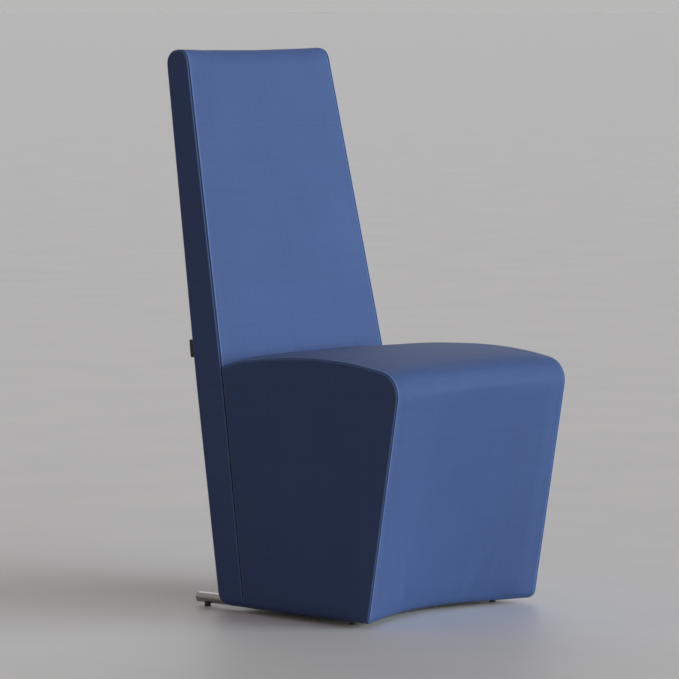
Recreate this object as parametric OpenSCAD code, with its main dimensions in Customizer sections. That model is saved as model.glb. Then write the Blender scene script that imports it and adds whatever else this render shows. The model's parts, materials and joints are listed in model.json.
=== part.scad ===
// High back dining chair: a padded seat block and a tall slab back on two steel runners.
// The side view is drawn in Y and Z from the seat's front edge, and placed() centres its depth.
// X runs across the chair, the seat faces -Y and the floor is Z = 0.

/* [Overall] */
// Height of the chair
chair_h = 1080; // [1000:1:1180]
// Width of the seat at its front
chair_w = 506; // [460:1:560]
// How much closer to the middle each side of the seat lies at the back, and the back's own sides
back_in = 10; // [0:0.5:16]
// Width of the back at its top
top_w = 415; // [360:1:460]
// Height of the upholstery's lower edge above the floor
skirt_h = 10; // [9:0.5:14]

/* [Seat] */
// Height of the seat's front edge before it is rounded
front_h = 477; // [440:1:500]
// Distance from the seat's front edge to the back, at the height where the back bends
seat_depth = 457; // [430:1:500]
// How far the front's foot stands back from the front edge, at the sides
front_setback = 80; // [50:1:100]
// How much further back the middle of the front's foot is bowed
front_bow = 60; // [20:1:80]
// Reach of the rounded front edge along the front and along the top
corner_reach = 44; // [36:1:54]
// Height of the crown's rear shoulder at the sides
shoulder_h = 490; // [480:1:510]
// Distance from the rear shoulder to the back
shoulder_in = 74; // [60:1:90]
// Height at which the seat's side seam meets the back
seat_rear_h = 470; // [466:1:478]
// Rise of the crown in the middle of the seat above its side seams
seat_crown = 5; // [2:0.5:10]
// The same rise at the seat's rear end
tail_crown = 15; // [6:0.5:18]

/* [Back] */
// Height at which the back bends and starts to narrow
bend_h = 450; // [440:1:450]
// How far the back's front line comes forward from the bend to the floor
foot_rake = 56; // [30:1:70]
// How far the back's front line leans backwards from the bend to the top
top_rake = 126; // [90:1:160]
// Thickness of the back at the floor
foot_t = 65; // [62:1:80]
// Thickness of the back at the bend
bend_t = 71; // [68:1:84]
// Thickness of the back at the top
top_t = 56; // [55:1:70]
// Radius of the back's top edge at the front
top_front_r = 25; // [16:0.5:26]
// Radius of the back's top edge at the rear
top_rear_r = 26; // [20:0.5:27]
// Radius of the back's lower rear edge
foot_r = 30; // [26:1:36]
// Rise of the back's padded front in its middle
back_crown = 5; // [2:0.5:8]
// How far the top edge sags in its middle
top_sag = 3; // [0:0.5:5]

/* [Upholstery] */
// Thickness of the fabric with its lining
cover_t = 2; // [1:0.1:3]
// Radius at which the side covers turn into the seams
edge_r = 4; // [3.5:0.5:6]
// Thickness of the pads on the sides
pad_t = 8; // [6:0.5:12]
// Thickness of the foam on the seat's front
front_foam_t = 20; // [14:0.5:24]
// Thickness of the foam on the back's front
back_foam_t = 20; // [14:0.5:22]
// Thickness of the foam on the back's rear
rear_foam_t = 8; // [5:0.5:10]
// Width of a webbing strap
web_w = 50; // [40:1:60]
// Thickness of a webbing strap
web_t = 2; // [1.5:0.1:2.4]
// Thickness of the dust cover under the base board
dust_t = 1; // [0.5:0.1:1.2]
// Length of the blank tag along the rear edge
tag_l = 34; // [20:1:50]
// How far the blank tag stands out
tag_out = 8; // [5:0.5:12]
// Thickness of the blank tag
tag_t = 1.5; // [1:0.1:2]

/* [Frame] */
// Thickness of the side boards
board_t = 15; // [12:0.5:18]
// Thickness of the bent front board
front_board_t = 9; // [6:0.5:12]
// Thickness of the base board
base_t = 22; // [20:0.5:26]
// Height of the rails
rail_h = 60; // [45:1:70]
// Thickness of the seat's rails
rail_t = 25; // [20:0.5:30]
// Thickness of the rail in the back that the seat is bolted to
joint_rail_t = 30; // [24:0.5:34]
// Width of the posts in the seat's corners
post_w = 35; // [28:1:42]
// Width of the back's stiles
stile_w = 40; // [30:1:50]
// Thickness of the plywood panel in the rear of the back
panel_t = 4; // [3:0.5:5]

/* [Base] */
// Outer diameter of the runner tubes
tube_d = 20; // [18:0.5:21]
// Wall of the runner tubes
tube_wall = 1.5; // [1:0.1:2.5]
// Distance of a runner's axis from the chair's side
runner_in = 46; // [44:0.5:60]
// How far the runners reach out behind the foot of the back
runner_out = 84; // [50:1:110]
// Height of the glides under the runners
glide_h = 7; // [5:0.5:8]
// Diameter of the glides
glide_d = 12; // [10:0.5:15]
// Distance of a glide's axis from its runner's end
glide_in = 21; // [17:0.5:30]

/* [Fasteners] */
// Diameter of the bolts that hold the runners
runner_bolt_d = 6; // [5:0.5:8]
// Distance of the first runner bolt from the runner's front end
runner_bolt_in = 60; // [50:1:80]
// Distance of the second runner bolt from the back
runner_bolt_out = 50; // [46:1:120]
// Diameter of the bolts between seat and back
frame_bolt_d = 8; // [6:0.5:10]
// Distance of the inner frame bolts from the middle
frame_bolt_in = 55; // [40:1:70]
// Distance of the outer frame bolts from the stiles
frame_bolt_out = 42; // [26:1:60]

/* [Hidden] */
$fn = 48;

// Clearance between soft layers, and around what passes through a hole
lay_gap = 0.3;
// Clearance between the front's foam and its bent board
bent_gap = 0.5;
// Clearance around the tubes in the base board and the rear cover
tube_gap = 1;
// How far a cut runs past the face it opens
overrun = 5;

// Slope of the seat's top behind the rounded front edge
front_slope_share = 0.2;
// Slope of the seat's top down to the rear shoulder
shoulder_slope_share = 0.126;
// Slope of the seat's top where it meets the back
tail_slope_share = 0.42;
// Handle of a curve that turns a corner, as a share of its reach
corner_handle_share = 0.55;
// Handle of a curve that runs along, as a share of its length
long_handle_share = 1 / 3;
// Power by which the front's bow fades towards the sides
bow_power_share = 1.3;
// Power by which the crowns fade towards the seams
crown_power_share = 4;
// How far the side covers turn in where seat and back meet, as a share of their turn elsewhere
low_lip_share = 0.3;

// Counts of steps in the curved surfaces
front_rows = 8;
corner_steps = 8;
crown_steps = 9;
tail_steps = 4;
seat_bays = 12;
back_rows = 9;
back_bays = 10;
arc_steps = 6;
edge_steps = 3;
seat_strap_count = 5;
back_strap_count = 7;

// Layers of the upholstery, counted from the outer face
skin = cover_t + lay_gap;
seam_half = chair_w / 2 - edge_r;
pad_in = skin + pad_t + lay_gap;
frame_half = chair_w / 2 - pad_in;
board_half = frame_half - board_t;
rear_half = frame_half - back_in;
stile_half = rear_half - stile_w;
front_board_in = skin + front_foam_t + bent_gap;
front_board_back = front_board_in + front_board_t;
strap_in = skin + back_foam_t + lay_gap;
stile_in = strap_in + web_t;
panel_in = skin + rear_foam_t + lay_gap;
stile_rear_in = panel_in + panel_t;

// The seat's crown and the front's bow at its places across the width, drawn straight between them
function crown_share(u) = 1 - pow(abs(u), crown_power_share);
function seat_u(k) = 2 * k / seat_bays - 1;
lifts = [for (k = [0 : seat_bays]) [seat_u(k) * seam_half, seat_crown * crown_share(seat_u(k))]];
bows = [for (k = [0 : seat_bays])
    [seat_u(k) * seam_half, front_bow * pow(1 - seat_u(k) * seat_u(k), bow_power_share)]];

// Heights of the frame
base_z0 = skirt_h + skin;
base_z1 = base_z0 + base_t;
deck_z = front_h - corner_reach;
board_top = deck_z - web_t;
rail_top = board_top - web_t;
rail_z = rail_top - rail_h;
top_z = chair_h - top_rear_r - top_front_r + web_t;
rise_z0 = seat_rear_h + tail_crown;
pad_top_z = top_z - lay_gap;
wrap_z = top_z - edge_r;
middle_rail_z = (rail_top + top_z - rail_h) / 2 - rail_h / 2;
foam_back_z = skirt_h + foot_r;

// Runners
tube_r = tube_d / 2;
bore_r = tube_r - tube_wall;
plug_t = tube_wall;
plug_l = tube_r;
runner_x = chair_w / 2 - runner_in;
runner_z = glide_h + tube_r;
runner_rear = seat_depth - foot_rake + foot_t + runner_out;
runner_front = front_y(runner_x - tube_r, base_z0, front_board_back) + plug_t + tube_gap;
runner_l = runner_rear - runner_front;
glide_r = glide_d / 2;
glide_top = runner_z - sqrt(tube_r * tube_r - glide_r * glide_r);
stud_r = glide_r / 2;
stud_top = glide_h + tube_wall + stud_r;
runner_bolt_r = runner_bolt_d / 2;
runner_head_r = runner_bolt_d;
runner_head_t = runner_bolt_r;
runner_bolt_ys = [runner_front + runner_bolt_in, back_front(base_z1) - runner_bolt_out];

// Bolts between seat and back
frame_bolt_r = frame_bolt_d / 2;
frame_head_r = frame_bolt_d;
frame_head_t = frame_bolt_r;
frame_nut_t = frame_bolt_r / 2;
frame_bolt_z = rail_z + rail_h / 2;
frame_bolt_end = stile_half - frame_bolt_out;
frame_bolt_xs = [-frame_bolt_end, -frame_bolt_in, frame_bolt_in, frame_bolt_end];
low_lean = atan(foot_rake / (bend_h - skirt_h));

// Plain geometry
function lerp(p, q, t) = p + (q - p) * t;
function unit(v) = v / norm(v);
function flip(list) = [for (k = [len(list) - 1 : -1 : 0]) list[k]];
function bezier(p, q, r, s, t) =
    let (v = 1 - t) v * v * v * p + 3 * v * v * t * q + 3 * v * t * t * r + t * t * t * s;
function corner(p, c, q, r) =
    let (a = unit(p - c), b = unit(q - c), half = acos(a * b) / 2,
         mid = c + unit(a + b) * r / sin(half),
         first = c + a * r / tan(half) - mid, last = c + b * r / tan(half) - mid,
         sweep = 180 - 2 * half)
    [for (k = [0 : arc_steps])
        mid + (first * sin(sweep * (1 - k / arc_steps)) + last * sin(sweep * k / arc_steps)) / sin(sweep)];

// Side view of the back: front line, rear line and half width at a height
function back_front(z) = z < bend_h
    ? seat_depth - (bend_h - z) * foot_rake / (bend_h - skirt_h)
    : seat_depth + (z - bend_h) * top_rake / (chair_h - bend_h);
function back_thick(z) = z < bend_h
    ? lerp(bend_t, foot_t, (bend_h - z) / (bend_h - skirt_h))
    : lerp(bend_t, top_t, (z - bend_h) / (chair_h - bend_h));
function back_rear(z) = back_front(z) + back_thick(z);
function half_w(z) =
    lerp(chair_w / 2 - back_in, top_w / 2, max(0, z - bend_h) / (chair_h - bend_h));

// The seat's sides run together towards the back, and what lies across the seat follows them
function narrowing(y) = 1 - back_in / (chair_w / 2) * min(1, y / seat_depth);

// Corners of the back's outline at a depth, and its rounded stretches
function front_corner(d) = [back_front(chair_h - d) + d, chair_h - d];
function rear_corner(d) = [back_rear(chair_h - d) - d, chair_h - d];
function foot_corner(d) = [back_rear(skirt_h + d) - d, skirt_h + d];
function toe_corner(d) = [back_front(skirt_h + d) + d, skirt_h + d];
function bend_front(d) = [back_front(bend_h) + d, bend_h];
function bend_rear(d) = [back_rear(bend_h) - d, bend_h];
function front_arc(d) = corner(bend_front(d), front_corner(d), rear_corner(d), top_front_r - d);
function rear_arc(d) = corner(front_corner(d), rear_corner(d), bend_rear(d), top_rear_r - d);
function foot_arc(d) = corner(bend_rear(d), foot_corner(d), toe_corner(d), foot_r - d);
function back_outline(d) =
    concat([toe_corner(d), bend_front(d)], front_arc(d), rear_arc(d), [bend_rear(d)], foot_arc(d));

// Strips of the back's side view between two heights
function tall(z0, z1) = concat([z0], z0 < bend_h && bend_h < z1 ? [bend_h] : [], [z1]);
function across(z0, z1, front_in, rear_in) = concat(
    [for (z = tall(z0, z1)) [back_front(z) + front_in, z]],
    [for (z = flip(tall(z0, z1))) [back_rear(z) - rear_in, z]]);
function along_front(z0, z1, a, b) = concat(
    [for (z = tall(z0, z1)) [back_front(z) + a, z]],
    [for (z = flip(tall(z0, z1))) [back_front(z) + b, z]]);
function along_rear(z0, z1, a, b) = concat(
    [for (z = tall(z0, z1)) [back_rear(z) - b, z]],
    [for (z = flip(tall(z0, z1))) [back_rear(z) - a, z]]);

// Strips of the back's front view: the whole width, or the right-hand edge
function wide(z0, z1, a) = concat(
    [for (z = tall(z0, z1)) [half_w(z) - a, z]],
    [for (z = flip(tall(z0, z1))) [a - half_w(z), z]]);
function beside(z0, z1, a, b) = concat(
    [for (z = tall(z0, z1)) [half_w(z) - a, z]],
    [for (z = flip(tall(z0, z1))) [half_w(z) - b, z]]);

// The seat's crown and the front's bow at a place across the width
function lift(x) = lookup(x, lifts);
function bow(x) = lookup(x, bows);
function front_lean(x) = (front_setback + bow(x)) / (front_h + lift(x) - skirt_h);

// Y of the seat's leaning front at a place, a height and a depth
function front_y(x, z, d) = (front_h + lift(x) - z) * front_lean(x) + d * norm([1, front_lean(x)]);
function row_z(k, foot_z) = k == 0 ? foot_z : lerp(skirt_h, rail_top, k / front_rows);

// Outline of the seat's padded strip: up the front, round its edge, over the crown, to the back
function seat_front(x, d, foot_z) = [for (k = [0 : front_rows])
    let (z = row_z(k, foot_z)) [front_y(x, z, d), z]];
function seat_edge(x) = [0, front_h + lift(x)];
function corner_start(x) = seat_edge(x) + corner_reach * unit([front_lean(x), -1]);
function corner_end(x) = seat_edge(x) + corner_reach * unit([1, front_slope_share]);
function shoulder(x) = [seat_depth - shoulder_in, shoulder_h + lift(x)];
function tail(x) = let (z = seat_rear_h + lift(x) * tail_crown / seat_crown) [back_front(z) - lay_gap, z];
function run(p, q) = long_handle_share * (q[0] - p[0]);
function seat_round(x) = let (a = corner_start(x), b = corner_end(x), e = seat_edge(x))
    [for (k = [0 : corner_steps]) bezier(a, lerp(a, e, corner_handle_share), lerp(b, e, corner_handle_share),
        b, k / corner_steps)];
function seat_top(x) = let (a = corner_end(x), b = shoulder(x), r = run(a, b))
    [for (k = [1 : crown_steps]) bezier(a, a + r * [1, front_slope_share],
        b - r * [1, -shoulder_slope_share], b, k / crown_steps)];
function seat_tail(x) = let (a = shoulder(x), b = tail(x), r = run(a, b))
    [for (k = [1 : tail_steps]) bezier(a, a + r * [1, -shoulder_slope_share],
        b - r * [1, -tail_slope_share], b, k / tail_steps)];
function seat_over(x) = concat(seat_round(x), seat_top(x), seat_tail(x));

// The same outline at a depth: each point moves square to the line, the last one down the back
function inward(p, k) = let (v = unit((k > 0 ? unit(p[k] - p[k - 1]) : [0, 0])
    + (k < len(p) - 1 ? unit(p[k + 1] - p[k]) : [0, 0]))) [v[1], -v[0]];
function back_down(z) = unit([back_front(z - edge_r) - back_front(z), -edge_r]);
function sunk(p, d) = [for (k = [0 : len(p) - 1]) let (n = inward(p, k), s = back_down(p[k][1]))
    k == len(p) - 1 ? p[k] + s * d / (n * s) : p[k] + d * n];
function seat_over_in(x, d) = sunk(seat_over(x), d);
function seat_strip(x, d, foot_z) = concat(seat_front(x, d, foot_z), seat_over_in(x, d));
function seat_side(d, foot_z) =
    let (over = seat_over_in(seam_half, d), last = len(over) - 1, turn = [d * low_lip_share, 0])
    concat([[front_y(seam_half, foot_z, d), foot_z]], [for (k = [0 : last - 1]) over[k]],
        [over[last] - turn], [for (z = [bend_h, foot_z]) [back_front(z) - lay_gap, z] - turn]);

// Places across the seat, with the ends of a layer at a given distance from the middle
function seat_xs(end) = concat([-end], [for (k = [1 : seat_bays - 1]) seam_half * seat_u(k)], [end]);
function back_us() = [for (k = [0 : back_bays]) 2 * k / back_bays - 1];

// Padded front of the back: crowned in its middle, with a sagging top edge
back_zs = concat([deck_z + lay_gap, bend_h],
    [for (k = [0 : back_rows - 2]) lerp(rise_z0, pad_top_z, k / (back_rows - 2))]);
function rise(z) = z < rise_z0 ? 0 : crown_share(2 * (z - rise_z0) / (top_z - rise_z0) - 1);
function sag_share(z) = max(0, (z - top_z) / (chair_h - top_z));
function drop(u, z) = z - top_sag * (1 - u * u) * sag_share(z);
function back_point(u, p, in) = [u * (half_w(p[1]) - in), p[0], drop(u, p[1])];
function back_face(u, d, in) = [for (z = back_zs)
    back_point(u, [back_front(z) + d - back_crown * crown_share(u) * rise(z), z], in)];
function back_wrap(u, d, in) = concat(back_face(u, d, in),
    [for (p = concat(front_arc(d), rear_arc(d), [[back_rear(wrap_z) - d, wrap_z]])) back_point(u, p, in)]);
function back_cap(u, d, in) = [for (p = concat([[back_front(top_z) + d, top_z]], front_arc(d), rear_arc(d),
    [[back_rear(top_z) - d, top_z]])) back_point(u, p, in)];
function rear_wrap(d) =
    concat([[back_rear(wrap_z - lay_gap) - d, wrap_z - lay_gap], bend_rear(d)], foot_arc(d));

// Surfaces through a row of rings: a strip's ring is its outer line and its inner line turned back
function ring_faces(count, n, half) = [
    for (i = [0 : count - 2], k = [0 : n - 1])
        let (a = i * n + k, b = i * n + (k + 1) % n, c = b + n, d = a + n)
        for (f = k < half ? [[a, b, c], [a, c, d]] : [[a, b, d], [b, c, d]]) f];
function end_faces(n, base, turned) = let (m = base + floor(n / 2), odd = [m - 1, m, m + 1]) [
    for (j = [0 : floor(n / 2) - 2])
        let (a = base + j, b = base + j + 1, c = base + n - 2 - j, d = base + n - 1 - j)
        for (f = turned ? [[d, c, b], [d, b, a]] : [[a, b, c], [a, c, d]]) f,
    if (n % 2 == 1) turned ? flip(odd) : odd];
module rings_solid(rings, half) {
    n = len(rings[0]);
    polyhedron([for (r = rings) each r], concat(ring_faces(len(rings), n, half),
        end_faces(n, 0, true), end_faces(n, (len(rings) - 1) * n, false)), convexity = 6);
}
module strip(rings) rings_solid(rings, len(rings[0]) / 2);
module stack(rings) rings_solid(rings, len(rings[0]));
function at_x(x, points) = [for (p = points) [x * narrowing(p[0]), p[0], p[1]]];
module plate(x0, x1, points) stack([for (x = [x0, x1]) at_x(x, points)]);

// A side cover turns round its edge: pairs of depth from the outline and distance from the side
function lip(r, t) = concat(
    [for (k = [0 : edge_steps]) let (a = 90 * k / edge_steps) [r - (r - t) * sin(a), r - (r - t) * cos(a)]],
    [for (k = [edge_steps : -1 : 0]) let (a = 90 * k / edge_steps) [r - r * sin(a), r - r * cos(a)]]);

// Outline of the edge cover, with as many points down its rear as up its front
function edge_levels() = [bend_h, seat_rear_h, seat_rear_h + edge_r];
function edge_outline(d) = concat(
    [for (k = [0 : arc_steps]) let (z = lerp(skirt_h + d, foam_back_z + edge_r, k / arc_steps))
        [back_front(z) + d * low_lip_share, z]],
    [for (z = edge_levels()) [back_front(z) + d * (z > seat_rear_h ? 1 : low_lip_share), z]],
    front_arc(d), rear_arc(d),
    [for (z = flip(edge_levels())) [back_rear(z) - d, z]],
    foot_arc(d));

// Places
module placed() translate([0, -middle_y, 0]) children();
module mirrored(side) if (side < 0) mirror([1, 0, 0]) children(); else children();
module side_view(points, w) rotate([90, 0, 90]) linear_extrude(w, center = true) polygon(points);
module front_view(points) translate([0, back_rear(chair_h), 0]) rotate([90, 0, 0])
    linear_extrude(back_rear(chair_h)) polygon(points);
module back_piece(front_points, side_points) intersection() {
    front_view(front_points);
    side_view(side_points, chair_w);
}
module lean_axis(x) translate([x, back_front(frame_bolt_z), frame_bolt_z]) rotate([-90 - low_lean, 0, 0])
    children();
front_most = min([for (x = seat_xs(seam_half)) for (p = seat_over(x)) p[0]]);
rear_most = max([for (p = rear_arc(0)) p[0]]);
middle_y = (front_most + rear_most) / 2;

// Base
module runner(side) translate([side * runner_x, 0, runner_z]) difference() {
    translate([0, runner_front, 0]) rotate([-90, 0, 0]) cylinder(h = runner_l, r = tube_r);
    translate([0, runner_front - overrun, 0]) rotate([-90, 0, 0])
        cylinder(h = runner_l + 2 * overrun, r = bore_r);
    for (y = runner_bolt_ys) translate([0, y, 0]) cylinder(h = tube_d, r = runner_bolt_r + lay_gap);
    for (y = glide_ys()) translate([0, y, -tube_d]) cylinder(h = tube_d, r = stud_r + lay_gap);
}
function glide_ys() = [runner_front + glide_in, runner_rear - glide_in];
module plug() {
    translate([0, 0, -plug_t]) cylinder(h = plug_t, r1 = tube_r - plug_t / 2, r2 = tube_r);
    cylinder(h = plug_l, r = bore_r - lay_gap);
}
module glide(side, y) difference() {
    translate([side * runner_x, y, 0]) {
        cylinder(h = stud_r / 2, r1 = glide_r - stud_r / 3, r2 = glide_r);
        translate([0, 0, stud_r / 2]) cylinder(h = glide_top - stud_r / 2, r = glide_r);
    }
    translate([side * runner_x, y - tube_d, runner_z]) rotate([-90, 0, 0])
        cylinder(h = 2 * tube_d, r = tube_r + lay_gap / 2);
}
module glide_with_stud(side, y) union() {
    glide(side, y);
    translate([side * runner_x, y, stud_r]) cylinder(h = stud_top - stud_r, r = stud_r);
}
module left_runner_tube() color("silver") placed() runner(-1);
module right_runner_tube() color("silver") placed() runner(1);
module runner_end_plugs() color("dimgray") placed() for (side = [-1, 1]) {
    translate([side * runner_x, runner_front, runner_z]) rotate([-90, 0, 0]) plug();
    translate([side * runner_x, runner_rear, runner_z]) rotate([90, 0, 0]) plug();
}
module left_rear_glide() color("#181818") placed() glide_with_stud(-1, glide_ys()[1]);
module right_rear_glide() color("#181818") placed() glide_with_stud(1, glide_ys()[1]);
module left_front_glide() color("#181818") placed() glide_with_stud(-1, glide_ys()[0]);
module right_front_glide() color("#181818") placed() glide_with_stud(1, glide_ys()[0]);
module runner_bolts() color("gray") placed() for (side = [-1, 1], y = runner_bolt_ys)
    translate([side * runner_x, y, 0]) union() {
        translate([0, 0, base_z1])
            cylinder(h = runner_head_t, r1 = runner_head_r, r2 = runner_head_r - runner_bolt_r / 2);
        translate([0, 0, runner_z]) cylinder(h = base_z1 + runner_head_t / 2 - runner_z, r = runner_bolt_r);
    }

// Seat box
base_step_y = back_front(base_z1) + lay_gap;
function across_seat(points) = [for (p = points) [p[0] * narrowing(p[1]), p[1]]];
function base_plan() = concat(
    across_seat([[-board_half, base_step_y]]),
    across_seat([for (x = seat_xs(board_half)) [x, front_y(x, base_z0, front_board_back) + lay_gap]]),
    across_seat([[board_half, base_step_y]]),
    [[rear_half, base_step_y], [rear_half, back_rear(base_z1)],
     [-rear_half, back_rear(base_z1)], [-rear_half, base_step_y]]);
function base_side() = concat([[0, base_z0], [0, base_z1], [back_rear(base_z1) - panel_in, base_z1]],
    [for (p = foot_arc(panel_in)) if (p[1] < base_z1) [p[0], max(base_z0, p[1])]],
    [[foot_arc(panel_in)[arc_steps][0], base_z0]]);
module tube_groove(side) {
    translate([side * runner_x, 0, runner_z]) rotate([-90, 0, 0])
        cylinder(h = runner_rear, r = tube_r + lay_gap);
    translate([side * runner_x - tube_r - lay_gap, 0, 0])
        cube([tube_d + 2 * lay_gap, runner_rear, runner_z]);
}
module base_board() color("burlywood") placed() difference() {
    intersection() {
        linear_extrude(base_z1) polygon(base_plan());
        side_view(base_side(), chair_w);
    }
    for (side = [-1, 1]) tube_groove(side);
    for (side = [-1, 1], y = runner_bolt_ys) translate([side * runner_x, y, 0])
        cylinder(h = base_z1 + overrun, r = runner_bolt_r + lay_gap);
}
function side_board_outline() = [
    [front_y(board_half, base_z0, front_board_in), base_z0],
    [front_y(board_half, board_top, front_board_in), board_top],
    [back_front(board_top), board_top], [back_front(base_z0), base_z0]];
module side_board(side) mirrored(side) plate(board_half, frame_half, side_board_outline());
module left_side_board() color("tan") placed() side_board(-1);
module right_side_board() color("tan") placed() side_board(1);
module front_board() color("tan") placed() strip([for (x = seat_xs(board_half)) at_x(x, concat(
    seat_front(x, front_board_in, base_z0), flip(seat_front(x, front_board_back, base_z0))))]);
function front_post_outline() = let (x = board_half - post_w)
    [for (p = [[0, base_z1], [0, rail_z], [post_w, rail_z], [post_w, base_z1]])
        [front_y(x, p[1], front_board_back) + lay_gap + p[0], p[1]]];
module front_posts() color("wheat") placed() for (side = [-1, 1])
    mirrored(side) plate(board_half - post_w, board_half, front_post_outline());
module rear_posts() color("wheat") placed() for (side = [-1, 1])
    mirrored(side) plate(board_half - post_w, board_half, along_front(base_z1, rail_z, -post_w, 0));
front_rail_y = front_y(0, rail_z, front_board_back) + lay_gap;
function front_rail_side() = let (y0 = front_rail_y, y1 = front_rail_y + rail_t)
    [[y0, rail_z], [y0, rail_top], [y1, rail_top], [y1, rail_z]];
module seat_front_rail() color("wheat") placed() plate(-board_half, board_half, front_rail_side());
module frame_bolt_holes() for (x = frame_bolt_xs) lean_axis(x) translate([0, 0, -2 * rail_t])
    cylinder(h = 4 * rail_t, r = frame_bolt_r + lay_gap);
module seat_rear_rail() color("wheat") placed() difference() {
    plate(-board_half, board_half, along_front(rail_z, rail_top, -rail_t, 0));
    frame_bolt_holes();
}
strap_pitch_x = 2 * (board_half - post_w) / (seat_strap_count - 1);
strap_y0 = front_rail_y + rail_t;
strap_y1 = back_front(rail_top) - rail_t - web_w;
module lengthwise_webbing() color("dimgray") placed() for (k = [0 : seat_strap_count - 1])
    translate([post_w - board_half + k * strap_pitch_x - web_w / 2, front_rail_y, rail_top])
        cube([web_w, back_front(rail_top) - front_rail_y, web_t]);
module crosswise_webbing() color("dimgray") placed() for (k = [0 : seat_strap_count - 1])
    let (y = lerp(strap_y0, strap_y1, k / (seat_strap_count - 1)))
    plate(-frame_half, frame_half,
        [[y, board_top], [y, deck_z], [y + web_w, deck_z], [y + web_w, board_top]]);

// Seat upholstery
foam_z = deck_z + lay_gap;
function front_end(x, d) = sunk(seat_over(x), d)[0];
function foam_under(x, count) = let (
        y0 = front_y(x, foam_z, skin + front_foam_t) + lay_gap, y1 = back_front(foam_z) - lay_gap)
    concat([front_end(x, skin + front_foam_t)],
        [for (k = [0 : count - 3]) [lerp(y0, y1, k / (count - 3)), foam_z]],
        [[back_front(bend_h) - lay_gap, bend_h]]);
module seat_foam() color("khaki") placed() strip([for (x = seat_xs(frame_half))
    let (top = seat_over_in(x, skin)) at_x(x, concat(top, flip(foam_under(x, len(top)))))]);
function front_foam_line(x, d) = concat(seat_front(x, d, base_z0), [front_end(x, d) - [0, lay_gap]]);
module front_foam() color("khaki") placed() strip([for (x = seat_xs(frame_half))
    at_x(x, concat(front_foam_line(x, skin), flip(front_foam_line(x, skin + front_foam_t))))]);
module side_pad(side) mirrored(side)
    plate(frame_half + lay_gap, frame_half + lay_gap + pad_t,
        seat_side(edge_r + lay_gap, skirt_h + edge_r + lay_gap));
module left_side_pad() color("khaki") placed() side_pad(-1);
module right_side_pad() color("khaki") placed() side_pad(1);
module seat_cover() color("#3f5a8c") placed() strip([for (x = seat_xs(seam_half))
    at_x(x, concat(seat_strip(x, 0, skirt_h), flip(seat_strip(x, cover_t, skirt_h))))]);
module side_cover(side) mirrored(side) stack([for (e = lip(edge_r, cover_t))
    at_x(chair_w / 2 - e[1], seat_side(e[0], skirt_h + e[0]))]);
module left_side_cover() color("#2e4470") placed() side_cover(-1);
module right_side_cover() color("#2e4470") placed() side_cover(1);
dust_half = runner_x - tube_r - 2 * tube_gap;
module dust_cover() color("#202020") placed() translate([0, 0, base_z0 - dust_t]) linear_extrude(dust_t)
    polygon(concat(
        [for (x = seat_xs(dust_half)) if (abs(x) <= dust_half)
            [x, front_y(x, base_z0, front_board_back) + edge_r]],
        [for (x = [dust_half, -dust_half]) [x, back_rear(skirt_h) - foot_r - edge_r]]));

// Back frame
function stile_side() = concat(
    [[back_front(base_z1), base_z1], [back_front(deck_z), deck_z]],
    [for (z = [deck_z, bend_h, top_z]) [back_front(z) + stile_in, z]],
    [for (z = [top_z, bend_h, base_z1]) [back_rear(z) - stile_rear_in, z]]);
module stile(side) mirrored(side) back_piece(beside(base_z1, top_z, pad_in, pad_in + stile_w), stile_side());
module left_stile() color("peru") placed() stile(-1);
module right_stile() color("peru") placed() stile(1);
module back_rail(z, front_in) back_piece(wide(z, z + rail_h, pad_in + stile_w),
    across(z, z + rail_h, front_in, stile_rear_in));
module back_foot_rail() color("peru") placed() back_rail(base_z1, 0);
module back_joint_rail() color("peru") placed() difference() {
    back_piece(wide(rail_z, rail_top, pad_in + stile_w), along_front(rail_z, rail_top, 0, joint_rail_t));
    frame_bolt_holes();
}
module back_middle_rail() color("peru") placed() back_rail(middle_rail_z, stile_in);
module back_top_rail() color("peru") placed() back_rail(top_z - rail_h, stile_in);
module back_panel() color("tan") placed()
    back_piece(wide(base_z1, top_z, pad_in), along_rear(base_z1, top_z, panel_in, stile_rear_in));
strap_z0 = bend_h + web_w / 2;
strap_z1 = top_z - web_w - web_w / 2;
module back_webbing() color("dimgray") placed() for (k = [0 : back_strap_count - 1])
    let (z = lerp(strap_z0, strap_z1, k / (back_strap_count - 1)))
    back_piece(wide(z, z + web_w, pad_in), along_front(z, z + web_w, strap_in, stile_in));
module frame_bolts() color("gray") placed() for (x = frame_bolt_xs) lean_axis(x) union() {
    translate([0, 0, -rail_t - frame_head_t]) cylinder(h = frame_head_t, r = frame_head_r);
    translate([0, 0, -rail_t - frame_head_t / 2])
        cylinder(h = rail_t + frame_head_t / 2 + joint_rail_t + frame_head_t, r = frame_bolt_r);
}
module frame_nuts() color("silver") placed() for (x = frame_bolt_xs) lean_axis(x)
    translate([0, 0, joint_rail_t * cos(low_lean)]) difference() {
        union() {
            cylinder(h = frame_nut_t, r = frame_head_r + frame_nut_t);
            translate([0, 0, frame_nut_t]) cylinder(h = frame_head_t, r = frame_head_r - frame_nut_t);
        }
        translate([0, 0, -overrun]) cylinder(h = 4 * overrun, r = frame_bolt_r + lay_gap / 2);
    }

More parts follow.
